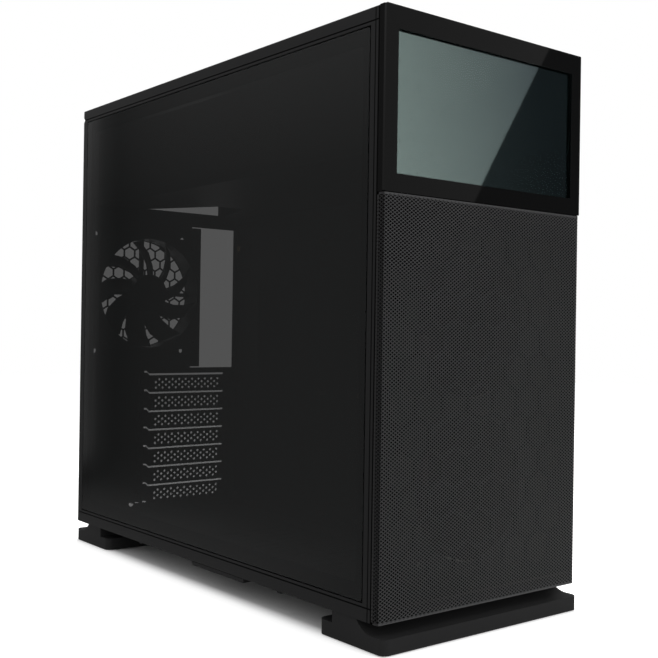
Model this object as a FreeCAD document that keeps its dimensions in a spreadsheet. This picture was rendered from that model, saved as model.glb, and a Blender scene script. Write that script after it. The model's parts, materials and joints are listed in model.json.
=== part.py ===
import FreeCAD, Part
import math
import os
from types import SimpleNamespace

import Sketcher
from FreeCAD import Placement, Rotation, Vector

# Mid tower computer case, millimetres.
# X runs across (glass side at -X), Y runs front to rear (front at -Y), Z is up.
# The origin is on the floor, under the middle of the whole case.

os.makedirs("parts", exist_ok=True)
doc = FreeCAD.newDocument("tower_case")
sheet = doc.addObject("Spreadsheet::Sheet", "sizes")

SIZES = {
    # body and sheet metal
    "body_width": 213.0,
    "body_depth": 477.0,
    "body_height": 430.0,
    "foot_height": 21.0,
    "steel": 1.0,
    "fold_radius": 1.2,
    "seam": 0.2,
    "skirt_height": 9.8,
    "band_height": 9.8,
    "corner_notch": 2.5,
    "rear_recess": 1.0,
    # side frames and doors
    "post_end": 16.3,
    "rear_strip": 9.0,
    "door_lip": 2.6,
    "door_depth": 5.0,
    "door_gap": 0.9,
    "door_seat": 8.0,
    "door_corner": 2.0,
    "glass_thickness": 4.0,
    "carrier_width": 11.0,
    "catch_spacing": 300.0,
    "stud_diameter": 5.0,
    "stud_neck": 3.4,
    "stud_length": 8.0,
    "clip_diameter": 10.0,
    "clip_length": 7.0,
    "catch_clearance": 0.5,
    # front panel
    "front_depth": 6.9,
    "front_gap": 0.4,
    "window_height": 130.2,
    "window_thickness": 2.0,
    "window_border": 11.8,
    "window_border_top": 16.3,
    "window_border_bottom": 13.3,
    "screen_recess": 10.0,
    "screen_thickness": 2.0,
    "screen_gap": 0.3,
    "mesh_thickness": 0.8,
    "mesh_gap": 0.5,
    "mesh_corner": 2.5,
    "mesh_columns": 8.0,
    "mesh_rows": 14.0,
    "mesh_margin": 7.0,
    "mesh_web": 3.0,
    "bezel_wall": 3.0,
    "bezel_bar": 9.0,
    "comb_pitch": 27.0,
    "comb_web": 3.0,
    "comb_thickness": 2.0,
    "pin_diameter": 5.0,
    "pin_length": 9.0,
    "pin_inset": 14.0,
    "led_width": 5.0,
    "led_height": 4.0,
    # rear openings
    "fan_z": 240.5,
    "fan_side_gap": 7.0,
    "fan_port_gap": 16.875,
    "grille_margin": 2.5,
    "grille_pitch": 12.5,
    "grille_web": 1.6,
    "fan_slot_length": 12.0,
    "fan_hole": 4.4,
    "port_window_width": 44.45,
    "port_window_height": 158.75,
    "port_offset": 27.7,
    "port_window_z": 238.7,
    "relief_length": 12.0,
    "relief_height": 1.2,
    "supply_width": 129.6,
    "supply_height": 82.0,
    "supply_x": -4.4,
    "supply_lift": 1.0,
    "supply_corner": 4.0,
    "supply_tab_x": 23.2,
    "supply_tab_z": 10.0,
    "supply_screw_hole": 3.6,
    "slot_pitch": 20.32,
    "slot_width": 18.42,
    "slot_top": 152.2,
    "slot_offset": 17.3,
    "slot_length": 102.0,
    "slot_lap": 1.0,
    "slot_overlap": 8.0,
    "slot_neck": 3.0,
    "slot_neck_length": 6.0,
    "slot_access": 8.0,
    "tab_depth": 10.5,
    "slot_hole": 3.6,
    "slot_hole_pitch": 8.4,
    "slot_row_pitch": 3.05,
    "lead_hole_diameter": 6.0,
    "lead_hole_z": 11.8,
    "lead_hole_gap": 1.5,
    # inner steelwork
    "cable_space": 19.2,
    "tray_front": 70.0,
    "bay_height": 331.7,
    "shroud_inset": 16.5,
    "shroud_gap": 12.0,
    "vent_left": 60.4,
    "vent_right": 41.0,
    "vent_reach": 88.0,
    "vent_slant": 0.45,
    "cpu_window_width": 150.0,
    "cpu_window_height": 110.0,
    "cpu_window_z": 205.0,
    "cpu_window_rear": 45.0,
    "window_radius": 6.0,
    "grommet_width": 26.0,
    "grommet_height": 62.0,
    "grommet_rim": 3.0,
    "grommet_depth": 3.0,
    "grommet_reach": 307.0,
    "board_bottom": 8.0,
    "board_gap": 2.0,
    "standoff_flats": 5.0,
    "standoff_height": 6.5,
    "standoff_bore": 5.0,
    "screw_hole": 3.0,
    "standoff_hole": 4.0,
    "cage_width": 103.6,
    "cage_depth": 110.0,
    "cage_height": 64.0,
    "cage_front": 40.0,
    "front_fan_z": 85.0,
    "front_fan_pitch": 125.0,
    "front_fan_bore": 113.0,
    "front_screw_pitch": 105.0,
    "cable_window_width": 100.0,
    "cable_window_height": 46.0,
    "floor_vent_length": 56.0,
    "floor_vent_width": 6.0,
    "floor_vent_pitch": 16.0,
    # fan
    "fan_thickness": 25.0,
    "fan_screw_inset": 7.5,
    "fan_rim": 2.0,
    "fan_flange": 4.0,
    "fan_barrel_wall": 1.8,
    "fan_corner": 6.0,
    "hub_diameter": 40.0,
    "hub_depth": 16.0,
    "hub_wall": 1.5,
    "motor_diameter": 38.0,
    "motor_depth": 5.0,
    "strut_width": 4.0,
    "blade_count": 9.0,
    "blade_tip_gap": 1.2,
    "blade_chord": 28.0,
    "blade_thickness": 1.6,
    "blade_pitch_angle": 45.0,
    "blade_sweep": -28.0,
    "blade_start": 15.0,
    "shaft_diameter": 3.0,
    "shaft_clearance": 0.05,
    "bearing_diameter": 7.0,
    "bearing_length": 12.0,
    # feet and floor filter
    "foot_overhang": 5.0,
    "foot_inset": 1.0,
    "foot_depth": 72.0,
    "foot_slab": 12.0,
    "foot_curve": 17.0,
    "foot_riser_start": 29.0,
    "foot_riser_length": 27.0,
    "foot_corner": 6.0,
    "pad_diameter": 18.0,
    "pad_thickness": 3.0,
    "pad_proud": 0.8,
    "pad_inset": 24.0,
    "filter_width": 196.0,
    "filter_depth": 230.0,
    "filter_thickness": 3.0,
    "filter_bar": 8.0,
    "filter_grip": 80.0,
    "filter_grip_y": -36.0,
    "filter_screen": 0.8,
    "rail_lip": 4.0,
    "rail_clearance": 0.35,
    # top controls and ports
    "control_y": 32.0,
    "control_reach": 57.0,
    "power_diameter": 16.0,
    "power_travel": 1.5,
    "light_diameter": 8.0,
    "button_gap": 0.3,
    "button_height": 8.0,
    "usb_width": 14.0,
    "usb_height": 6.6,
    "usb_c_width": 10.0,
    "usb_c_height": 4.2,
    "port_depth": 14.0,
    "port_wall": 0.6,
    "tongue": 2.0,
    "jack_diameter": 7.0,
    "jack_bore": 3.5,
    "port_spacing": 19.0,
    "jack_spacing": 11.0,
    "housing_end": 12.0,
    "housing_gap": 2.0,
    "housing_depth": 24.0,
    "housing_height": 15.0,
    # screws
    "thumb_diameter": 7.0,
    "thumb_height": 3.0,
    "screw_diameter": 2.8,
    "screw_length": 6.0,
}

for row, (name, value) in enumerate(SIZES.items(), start=1):
    sheet.set(f"A{row}", name)
    sheet.set(f"B{row}", str(value))
    sheet.setAlias(f"B{row}", name)
doc.recompute()


class Size:
    """A number together with the sheet formula that gives it."""

    def __init__(self, value, text):
        self.value = value
        self.text = text

    def __add__(self, other):
        other = as_size(other)
        return Size(self.value + other.value, f"({self.text} + {other.text})")

    __radd__ = __add__

    def __sub__(self, other):
        other = as_size(other)
        return Size(self.value - other.value, f"({self.text} - {other.text})")

    def __rsub__(self, other):
        return as_size(other) - self

    def __mul__(self, other):
        other = as_size(other)
        return Size(self.value * other.value, f"({self.text} * {other.text})")

    __rmul__ = __mul__

    def __truediv__(self, other):
        other = as_size(other)
        return Size(self.value / other.value, f"({self.text} / {other.text})")

    def __neg__(self):
        return 0 - self


def as_size(number):
    return number if isinstance(number, Size) else Size(float(number), repr(float(number)))


s = SimpleNamespace(**{name: Size(float(sheet.get(name)), "sizes." + name) for name in SIZES})
NODES = []

# Planes and levels that several pieces share.
half = s.body_width / 2
floor_z = s.foot_height
top_z = floor_z + s.body_height
ledge_reach = s.tab_depth + s.steel - s.rear_recess
front_y = s.foot_overhang - (s.foot_overhang + s.body_depth + ledge_reach) / 2
rear_y = front_y + s.body_depth
wall_y = front_y + s.post_end
panel_outer = rear_y - s.rear_recess
panel_inner = panel_outer - s.steel
seat_inner = half - s.door_depth - s.steel
door_low_y = front_y + s.post_end
door_high_y = rear_y - s.rear_strip
door_low_z = floor_z + s.skirt_height + s.door_lip
door_high_z = top_z - s.band_height - s.door_lip
stud_z = door_high_z - s.door_seat / 2
middle_y = (door_low_y + door_high_y) / 2
bay_z = floor_z + s.bay_height
tray_top = bay_z
fan_z = floor_z + s.fan_z
split_z = top_z - s.window_height
cover_under = top_z - s.steel
tray_x = half - s.cable_space
slot_right = tray_x - s.slot_offset
slot_left = slot_right - s.slot_length
access_left = slot_left - s.steel - s.slot_access
port_x = tray_x - s.port_offset
fan_left = s.fan_side_gap - half
fan_side = port_x - s.port_window_width / 2 - s.fan_port_gap - fan_left
fan_x = fan_left + fan_side / 2
fan_bore = fan_side - 2 * s.fan_rim
fan_screw_pitch = fan_side - 2 * s.fan_screw_inset
shroud_x = s.shroud_inset - half
grommet_y = panel_inner - s.grommet_reach
housing_right = half - s.pin_inset - s.pin_diameter / 2 - s.housing_gap
power_x = housing_right - s.power_diameter
control_x = power_x - s.control_reach


# Drawing and extruding


class Loops:
    """Lines, arcs and constraints of one sketch, gathered and then added together."""

    def __init__(self):
        self.geometry = []
        self.constraints = []
        self.formulas = []

    def tie(self, kind, *places):
        self.constraints.append(Sketcher.Constraint(kind, *places))

    def sized(self, kind, size, *places):
        """Constraint whose value is bound to a formula."""
        self.formulas.append((len(self.constraints), size.text))
        self.constraints.append(Sketcher.Constraint(kind, *places, size.value))

    def hold(self, kind, geometry, point, size):
        """Distance of a point from the origin."""
        self.sized(kind, size, -1, 1, geometry, point)

    def chain(self, corners):
        """Closed run of straight lines, corner to corner."""
        first = len(self.geometry)
        count = len(corners)
        for index in range(count):
            start = Vector(*corners[index], 0)
            end = Vector(*corners[(index + 1) % count], 0)
            self.geometry.append(Part.LineSegment(start, end))
            self.tie("Coincident", first + index, 2, first + (index + 1) % count, 1)
        return first

    def add_to(self, sketch):
        sketch.addGeometry(self.geometry, False)
        sketch.addConstraint(self.constraints)
        for number, text in self.formulas:
            sketch.setExpression(f"Constraints[{number}]", text)


def polygon(*points):
    """Closed outline through the points, each held by its two distances from the origin."""

    def draw(loops):
        first = loops.chain([(x.value, y.value) for x, y in points])
        for index, (x, y) in enumerate(points):
            loops.hold("DistanceX", first + index, 1, x)
            loops.hold("DistanceY", first + index, 1, y)

    return draw


def rect(x0, y0, x1, y1):
    """Rectangle between two opposite corners."""
    x0, y0, x1, y1 = (as_size(size) for size in (x0, y0, x1, y1))

    def draw(loops):
        first = loops.chain([(x.value, y.value) for x, y in ((x0, y0), (x1, y0), (x1, y1), (x0, y1))])
        for index in range(4):
            loops.tie("Horizontal" if index % 2 == 0 else "Vertical", first + index)
        loops.hold("DistanceX", first, 1, x0)
        loops.hold("DistanceY", first, 1, y0)
        loops.hold("DistanceX", first + 2, 1, x1)
        loops.hold("DistanceY", first + 2, 1, y1)

    return draw


def centred(x, y, width, height):
    """Rectangle about its centre."""
    return rect(x - width / 2, y - height / 2, x + width / 2, y + height / 2)


def rounded(x0, y0, x1, y1, radius):
    """Rectangle with four equal round corners."""
    x0, y0, x1, y1, radius = (as_size(size) for size in (x0, y0, x1, y1, radius))

    def draw(loops):
        first = len(loops.geometry)
        a, b, c, d, r = (size.value for size in (x0, y0, x1, y1, radius))
        lines = (
            ((a + r, b), (c - r, b)),
            ((c, b + r), (c, d - r)),
            ((c - r, d), (a + r, d)),
            ((a, d - r), (a, b + r)),
        )
        for start, end in lines:
            loops.geometry.append(Part.LineSegment(Vector(*start, 0), Vector(*end, 0)))
        centres = ((c - r, b + r), (c - r, d - r), (a + r, d - r), (a + r, b + r))
        for turn, centre in enumerate(centres):
            circle = Part.Circle(Vector(*centre, 0), Vector(0, 0, 1), r)
            start = math.radians(90 * (turn - 1))
            loops.geometry.append(Part.ArcOfCircle(circle, start, start + math.pi / 2))
        for turn in range(4):
            line, arc = first + turn, first + 4 + turn
            loops.tie("Tangent", line, 2, arc, 1)
            loops.tie("Tangent", arc, 2, first + (turn + 1) % 4, 1)
            if turn:
                loops.tie("Equal", first + 4, arc)
        loops.tie("Horizontal", first)
        loops.sized("Radius", radius, first + 4)
        loops.hold("DistanceY", first, 1, y0)
        loops.hold("DistanceX", first + 1, 1, x1)
        loops.hold("DistanceY", first + 2, 1, y1)
        loops.hold("DistanceX", first + 3, 1, x0)

    return draw


def hollow(x0, y0, x1, y1):
    """Wedge under a hollow curve that starts level at the first point and climbs to the second."""

    def draw(loops):
        first = len(loops.geometry)
        a, b, c, d = (size.value for size in (x0, y0, x1, y1))
        radius = ((c - a) ** 2 + (d - b) ** 2) / (2 * (d - b))
        level = -math.pi / 2
        climb = math.atan2(d - b - radius, c - a)
        if c < a and climb > 0:
            climb -= 2 * math.pi
        circle = Part.Circle(Vector(a, b + radius, 0), Vector(0, 0, 1), radius)
        loops.geometry.append(Part.LineSegment(Vector(a, b, 0), Vector(c, b, 0)))
        loops.geometry.append(Part.LineSegment(Vector(c, b, 0), Vector(c, d, 0)))
        loops.geometry.append(Part.ArcOfCircle(circle, min(level, climb), max(level, climb)))
        top, foot = (2, 1) if c > a else (1, 2)
        loops.tie("Coincident", first, 2, first + 1, 1)
        loops.tie("Coincident", first + 1, 2, first + 2, top)
        loops.tie("Coincident", first + 2, foot, first, 1)
        loops.tie("Horizontal", first)
        loops.tie("Vertical", first + 1)
        loops.hold("DistanceX", first, 1, x0)
        loops.hold("DistanceY", first, 1, y0)
        loops.hold("DistanceX", first + 1, 2, x1)
        loops.hold("DistanceY", first + 1, 2, y1)
        loops.hold("DistanceX", first + 2, 3, x0)

    return draw


def disc(x, y, diameter):
    """Circle about a centre."""
    x, y, diameter = (as_size(size) for size in (x, y, diameter))

    def draw(loops):
        first = len(loops.geometry)
        centre = Vector(x.value, y.value, 0)
        loops.geometry.append(Part.Circle(centre, Vector(0, 0, 1), diameter.value / 2))
        loops.sized("Diameter", diameter, first)
        loops.hold("DistanceX", first, 3, x)
        loops.hold("DistanceY", first, 3, y)

    return draw


def new_body(label):
    body = doc.addObject("PartDesign::Body", label)
    body.Label = label
    return body


def sketch_on(body, plane, level, loops):
    """Sketch on one of the body's own origin planes, moved to a level along the axis."""
    role = plane + "_Plane"
    datum = next(item for item in body.Origin.OriginFeatures if item.Role == role)
    sketch = body.newObject("Sketcher::SketchObject", body.Name + "_outline")
    sketch.AttachmentSupport = (datum, "")
    sketch.MapMode = "FlatFace"
    offset = -level if plane == "XZ" else level
    sketch.AttachmentOffset = Placement(Vector(0, 0, offset.value), Rotation())
    sketch.setExpression("AttachmentOffset.Base.z", offset.text)
    drawing = Loops()
    for loop in loops:
        loop(drawing)
    drawing.add_to(sketch)
    return sketch


def extrude(kind, body, plane, start, end, loops):
    """Pad or pocket between two levels along the axis square to the plane."""
    low, high = sorted((as_size(start), as_size(end)), key=lambda size: size.value)
    away = plane == "XZ"
    level = high if kind == "Pocket" and not away else low
    feature = body.newObject("PartDesign::" + kind, body.Name + "_" + kind.lower())
    feature.Profile = sketch_on(body, plane, level, loops)
    length = high - low
    feature.Length = length.value
    feature.setExpression("Length", length.text)
    feature.Reversed = away and kind == "Pad"
    body.Tip = feature
    return feature


def pad(body, plane, start, end, *loops):
    return extrude("Pad", body, plane, start, end, loops)


def cut(body, plane, start, end, *loops):
    return extrude("Pocket", body, plane, start, end, loops)


def along(axis):
    """Chooser of straight edges that run along an axis."""
    direction = {"x": Vector(1, 0, 0), "y": Vector(0, 1, 0), "z": Vector(0, 0, 1)}[axis]

    def chosen(edge):
        if edge.Curve.TypeId != "Part::GeomLine":
            return False
        return abs(edge.tangentAt(edge.FirstParameter).dot(direction)) > 0.999

    return chosen


def dress(body, kind, size, chosen):
    """Fillet or chamfer on the edges that a test chooses."""
    doc.recompute()
    base = body.Tip
    names = [f"Edge{n}" for n, edge in enumerate(base.Shape.Edges, start=1) if chosen(edge)]
    feature = body.newObject("PartDesign::" + kind, body.Name + "_" + kind.lower())
    feature.Base = (base, names)
    prop = "Radius" if kind == "Fillet" else "Size"
    setattr(feature, prop, size.value)
    feature.setExpression(prop, size.text)
    body.Tip = feature
    return feature


def node(item, label=None):
    """Enter a finished piece in the list that is written out."""
    item.Label = label or item.Label
    NODES.append(item)
    return item


def bind(item, **sizes):
    """Bind properties of a primitive to their formulas."""
    for prop, size in sizes.items():
        size = as_size(size)
        item.setExpression(prop.replace("_", "."), size.text)


def box(label, x0, y0, z0, x1, y1, z1):
    """Plain block between two corners."""
    item = doc.addObject("Part::Box", label)
    x0, y0, z0, x1, y1, z1 = (as_size(size) for size in (x0, y0, z0, x1, y1, z1))
    bind(item, Length=x1 - x0, Width=y1 - y0, Height=z1 - z0)
    bind(item, Placement_Base_x=x0, Placement_Base_y=y0, Placement_Base_z=z0)
    return item


TURNS = {"x": Rotation(Vector(0, 1, 0), 90), "y": Rotation(Vector(1, 0, 0), -90), "z": Rotation()}


def rod(label, axis, x, y, z, diameter, length):
    """Cylinder that starts at a point and runs along a positive axis."""
    item = doc.addObject("Part::Cylinder", label)
    item.Placement = Placement(Vector(), TURNS[axis])
    bind(item, Radius=as_size(diameter) / 2, Height=length)
    bind(item, Placement_Base_x=x, Placement_Base_y=y, Placement_Base_z=z)
    return item


def joined(label, *items):
    item = doc.addObject("Part::MultiFuse", label)
    item.Shapes = list(items)
    return item


def less(label, base, tool):
    item = doc.addObject("Part::Cut", label)
    item.Base = base
    item.Tool = tool
    return item


def shaped(label, shape):
    """Feature whose form is worked out here from the sheet's sizes."""
    item = doc.addObject("Part::Feature", label)
    item.Shape = shape
    item.Placement = Placement()
    return item


def copies(label, item, moves):
    """One node that holds the same piece at several places."""
    doc.recompute()
    solids = []
    for move in moves:
        solid = item.Shape.copy()
        solid.translate(Vector(*[as_size(size).value for size in move]))
        solids.append(solid)
    return node(shaped(label, Part.makeCompound(solids)), label)


def hexagon(x, z, across, y0, y1):
    """Prism along Y with a corner at the top, across its flats."""
    radius = across / math.sqrt(3)
    corners = []
    for step in range(7):
        angle = math.radians(60 * step + 90)
        corners.append(Vector(x + radius * math.cos(angle), y0, z + radius * math.sin(angle)))
    return Part.Face(Part.makePolygon(corners)).extrude(Vector(0, y1 - y0, 0))


# Outer steelwork


def make_base_pan():
    """Chassis floor: a sheet folded up at both sides, with vents over the dust filter."""
    pan = new_body("base_pan")
    inside = half - s.steel
    rim = floor_z + s.skirt_height
    deck = floor_z + s.steel
    pad(
        pan, "XZ", front_y + s.front_depth + s.front_gap, rear_y,
        polygon(
            (-half, floor_z), (half, floor_z), (half, rim), (inside, rim),
            (inside, deck), (-inside, deck), (-inside, rim), (-half, rim),
        ),
    )
    vents = []
    gap = (s.floor_vent_pitch - s.floor_vent_width) / 2
    for side in (-1, 1):
        x = side * (s.floor_vent_length / 2 + gap)
        for step in range(-5, 6):
            vents.append(centred(x, step * s.floor_vent_pitch, s.floor_vent_length, s.floor_vent_width))
    cut(pan, "XY", floor_z, deck, *vents)
    node(pan)


def make_top_cover():
    """Roof of the case with its side bands and the openings for buttons and ports."""
    cover = new_body("top_cover")
    inside = half - s.steel
    low = top_z - s.band_height
    pad(
        cover, "XZ", front_y + s.front_depth + s.front_gap, rear_y,
        polygon(
            (-half, top_z), (-half, low), (-inside, low), (-inside, cover_under),
            (inside, cover_under), (inside, low), (half, low), (half, top_z),
        ),
    )
    y = front_y + s.control_y
    openings = [disc(x, y, diameter) for x, diameter in ROUND_CONTROLS]
    openings += [centred(x, y, width, height) for x, width, height in FLAT_CONTROLS]
    cut(cover, "XY", cover_under, top_z, *openings)
    notch = s.corner_notch
    cut(
        cover, "YZ", -half, half,
        polygon((rear_y - notch, low), (rear_y, low), (rear_y, low + notch)),
    )

    def ridge(edge):
        point = edge.CenterOfMass
        on_top = abs(point.z - top_z.value) < 0.01 and abs(abs(point.x) - half.value) < 0.01
        return along("y")(edge) and on_top

    dress(cover, "Fillet", s.fold_radius, ridge)
    node(cover)


def make_side_frame(side, label):
    """Pressed frame round one side opening: face, return and the seat that the door closes on."""
    frame = new_body(label)
    low_z = floor_z + s.skirt_height + s.seam
    high_z = top_z - s.band_height - s.seam
    low_y = front_y + s.front_depth + s.front_gap
    opening = rect(door_low_y, door_low_z, door_high_y, door_high_z)
    rim = rect(door_low_y - s.steel, door_low_z - s.steel, door_high_y + s.steel, door_high_z + s.steel)
    seat = s.door_seat
    inner = rect(door_low_y + seat, door_low_z + seat, door_high_y - seat, door_high_z - seat)
    pad(
        frame, "YZ", side * half, side * (half - s.steel),
        rect(low_y, low_z, rear_y, high_z), opening,
    )
    pad(frame, "YZ", side * (half - s.steel), side * (half - s.door_depth), rim, opening)
    pad(frame, "YZ", side * (half - s.door_depth), side * seat_inner, rim, inner)
    hole = s.stud_diameter + 2 * s.catch_clearance
    holes = [disc(middle_y + step * s.catch_spacing / 2, stud_z, hole) for step in (-1, 1)]
    cut(frame, "YZ", side * (half - s.door_depth), side * seat_inner, *holes)
    notch = s.corner_notch
    cut(
        frame, "YZ", side * half, side * (half - s.steel),
        polygon((rear_y - notch, high_z), (rear_y, high_z), (rear_y, high_z - notch)),
    )
    node(frame)


def make_front_wall():
    """Chassis front: two fan openings with their screw holes, cable window and pin holes."""
    wall = new_body("front_wall")
    openings = [rect(-seat_inner, floor_z + s.steel, seat_inner, cover_under)]
    for step in (0, 1):
        z = floor_z + s.front_fan_z + step * s.front_fan_pitch
        openings.append(disc(0, z, s.front_fan_bore))
        reach = s.front_screw_pitch / 2
        for dx, dz in CORNERS:
            openings.append(disc(dx * reach, z + dz * reach, s.fan_hole))
    window_z = (split_z + top_z) / 2
    openings.append(centred(0, window_z, s.cable_window_width, s.cable_window_height))
    for x, z in pin_places():
        openings.append(disc(x, z, s.pin_diameter + 2 * s.catch_clearance))
    pad(wall, "XZ", wall_y, wall_y + s.steel, *openings)
    node(wall)


def slot_centre(index):
    """Height of the middle of an expansion slot."""
    return floor_z + s.slot_top - (index + 0.5) * s.slot_pitch


def slot_screw_z(index):
    """Height of the screw of a slot cover, whose tab is stepped up from its middle."""
    return slot_centre(index) + s.slot_neck


def slot_window():
    """Lower and upper edge of the slot window, beside the screw tabs' own step up."""
    low = slot_centre(SLOTS - 1) - s.slot_width / 2 + s.slot_lap
    return low, floor_z + s.slot_top + s.steel


def make_rear_panel():
    """Chassis rear with its fan grille, port window, supply opening, slots and screw ledge."""
    panel = new_body("rear_panel_blank")
    inside = half - s.steel
    slots_low, slots_high = slot_window()
    tabs_high = slots_high + s.slot_neck
    neck = slot_left + s.slot_neck_length
    port_left = port_x - s.port_window_width / 2
    port_right = port_x + s.port_window_width / 2
    port_low = floor_z + s.port_window_z - s.port_window_height / 2
    port_high = port_low + s.port_window_height
    relief = port_left - s.relief_length
    openings = [
        rect(-inside, floor_z + s.steel, inside, cover_under),
        polygon(
            (relief, port_low), (port_right, port_low), (port_right, port_high), (relief, port_high),
            (relief, port_high - s.relief_height), (port_left, port_high - s.relief_height),
            (port_left, port_low + s.relief_height), (relief, port_low + s.relief_height),
        ),
        polygon(
            (slot_left, slots_low), (slot_right, slots_low), (slot_right, slots_high),
            (neck, slots_high), (neck - s.slot_neck, tabs_high), (slot_left, tabs_high),
        ),
        rect(access_left, slots_low, slot_left - s.steel, tabs_high),
        disc(
            access_left - s.lead_hole_gap - s.lead_hole_diameter / 2, floor_z + s.lead_hole_z,
            s.lead_hole_diameter,
        ),
    ]
    x0 = s.supply_x - s.supply_width / 2
    x1 = s.supply_x + s.supply_width / 2
    z0 = bay_z + s.steel + s.supply_lift
    z1 = z0 + s.supply_height
    corner = s.supply_corner
    openings.append(
        polygon(
            (x0 + s.supply_tab_x, z0), (x1, z0), (x1, z1 - corner), (x1 - corner, z1),
            (x0 + corner, z1), (x0, z1 - corner), (x0, z0 + s.supply_tab_z),
            (x0 + s.supply_tab_x, z0 + s.supply_tab_z),
        )
    )
    for dx, dz in SUPPLY_SCREWS:
        openings.append(disc(s.supply_x + dx, bay_z + s.steel + dz, s.supply_screw_hole))
    reach = fan_screw_pitch / 2
    slack = s.fan_hole / 2
    for dx, dz in CORNERS:
        x = fan_x + dx * reach
        z = fan_z + dz * reach
        end = z + dz * s.fan_slot_length
        low, high = sorted((z - dz * slack, end), key=lambda size: size.value)
        openings.append(rounded(x - slack, low, x + slack, high, slack * 0.96))
    pad(panel, "XZ", panel_inner, panel_outer, *openings)
    pad(
        panel, "XZ", panel_inner, panel_outer + s.tab_depth,
        rect(slot_left - s.steel, slots_low - s.steel, slot_left, tabs_high + s.steel),
    )
    screw_y = panel_outer + s.tab_depth / 2
    holes = [disc(screw_y, slot_screw_z(index), s.screw_hole) for index in range(SLOTS)]
    cut(panel, "YZ", slot_left - s.steel, slot_left, *holes)
    node(less("rear_panel", panel, shaped("grille_cells", fan_grille_cells())))


def fan_grille_cells():
    """Honeycomb of prisms inside the grille circle, cut off at its edge."""
    across = s.grille_pitch.value - s.grille_web.value
    rise = s.grille_pitch.value * math.sqrt(3) / 2
    limit = (fan_side / 2 - s.grille_margin).value
    y0, y1 = panel_inner.value, panel_outer.value
    disc_shape = Part.makeCylinder(limit, y1 - y0, Vector(fan_x.value, y0, fan_z.value), Vector(0, 1, 0))
    rows = int(limit / rise) + 1
    cells = []
    for row in range(-rows, rows + 1):
        shift = 0.5 * (row % 2)
        for column in range(-rows, rows + 1):
            dx = (column + shift) * s.grille_pitch.value
            dz = row * rise
            distance = math.hypot(dx, dz)
            if distance > limit:
                continue
            cell = hexagon(fan_x.value + dx, fan_z.value + dz, across, y0, y1)
            if distance + across * 0.58 > limit:
                cell = cell.common(disc_shape)
            cells.append(cell)
    return Part.makeCompound(cells)


def make_slot_covers():
    """Perforated brackets that close the expansion slots, screw tabs bent outwards."""
    cover = new_body("slot_cover_blank")
    z = slot_centre(0)
    low = z - s.slot_width / 2
    high = z + s.slot_width / 2
    left = slot_left - 2 * s.steel
    neck = slot_left + s.slot_neck_length
    right = slot_right + s.slot_overlap
    back = panel_inner - s.steel
    step = s.slot_neck
    pad(
        cover, "XZ", back, panel_inner,
        polygon(
            (left, low + step), (neck - step, low + step), (neck, low), (right, low),
            (right, high), (neck, high), (neck - step, high + step), (left, high + step),
        ),
    )
    pad(
        cover, "XZ", panel_inner, panel_outer + s.tab_depth,
        rect(left, low + step, left + s.steel, high + step),
    )
    cut(
        cover, "YZ", left, left + s.steel,
        disc(panel_outer + s.tab_depth / 2, z + step, s.screw_hole),
    )
    bracket = less("slot_cover", cover, shaped("slot_cells", slot_cells(z.value, back.value)))
    for index in range(SLOTS):
        copies(f"slot_cover_{index + 1}", bracket, [(0, 0, -index * s.slot_pitch)])


def slot_cells(z, y0):
    """Staggered rows of small square holes, corner up, across one slot cover."""
    pitch = s.slot_hole_pitch.value
    corner = s.slot_hole.value / 2
    centre = (slot_left.value + s.slot_neck_length.value + slot_right.value) / 2
    cells = []
    for row in range(SLOT_ROWS):
        middle = z + (row - (SLOT_ROWS - 1) / 2) * s.slot_row_pitch.value
        shift = pitch / 4 if row % 2 else -pitch / 4
        for column in range(SLOT_COLUMNS):
            x = centre + (column - (SLOT_COLUMNS - 1) / 2) * pitch + shift
            cells.append(diamond(x, middle, corner, corner, y0, s.steel.value))
    return Part.makeCompound(cells)


def diamond(x, z, dx, dz, y0, depth):
    """Prism along Y with its four corners to the sides, up and down."""
    corners = [(x - dx, z), (x, z - dz), (x + dx, z), (x, z + dz), (x - dx, z)]
    outline = Part.makePolygon([Vector(a, y0, b) for a, b in corners])
    return Part.Face(outline).extrude(Vector(0, depth, 0))


def make_slot_screws():
    """Thumbscrews that clamp the slot tabs to the ledge."""
    left = slot_left - 2 * s.steel
    y = panel_outer + s.tab_depth / 2
    z = slot_screw_z(0)
    head = rod("slot_screw_head", "x", left - s.thumb_height, y, z, s.thumb_diameter, s.thumb_height)
    shank = rod("slot_screw_shank", "x", left, y, z, s.screw_diameter, s.screw_length)
    screw = joined("slot_screw", head, shank)
    copies("slot_screws", screw, [(0, 0, -index * s.slot_pitch) for index in range(SLOTS)])


def make_slot_screw_cover():
    """Folded strip outside the rear panel that covers the slot screws."""
    strip = new_body("slot_screw_cover")
    slots_low, slots_high = slot_window()
    low = slots_low - s.steel
    high = slots_high + s.slot_neck + s.steel
    outer = panel_outer + s.tab_depth
    pad(
        strip, "XY", low, high,
        polygon(
            (access_left - s.steel, panel_outer), (access_left, panel_outer), (access_left, outer),
            (slot_left, outer), (slot_left, outer + s.steel),
            (access_left - s.steel, outer + s.steel),
        ),
    )
    node(strip)


# Inner steelwork


def make_board_tray():
    """Upright tray that carries the main board, with its cooler window and cable openings."""
    tray = new_body("motherboard_tray")
    y0 = front_y + s.tray_front
    rear = panel_inner
    z0 = floor_z + s.steel
    radius = s.window_radius
    window_high = floor_z + s.cpu_window_z + s.cpu_window_height / 2
    window_low = window_high - s.cpu_window_height
    window_rear = rear - s.cpu_window_rear
    openings = [
        rect(y0, z0, rear, tray_top),
        rounded(window_rear - s.cpu_window_width, window_low, window_rear, window_high, radius),
    ]
    for z in grommet_heights():
        y = grommet_y
        half_width = s.grommet_width / 2
        half_height = s.grommet_height / 2
        openings.append(rounded(y - half_width, z - half_height, y + half_width, z + half_height, radius))
    for y, z in standoff_places():
        openings.append(disc(y, z, s.standoff_hole))
    pad(tray, "YZ", tray_x, tray_x + s.steel, *openings)
    node(tray)


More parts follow.
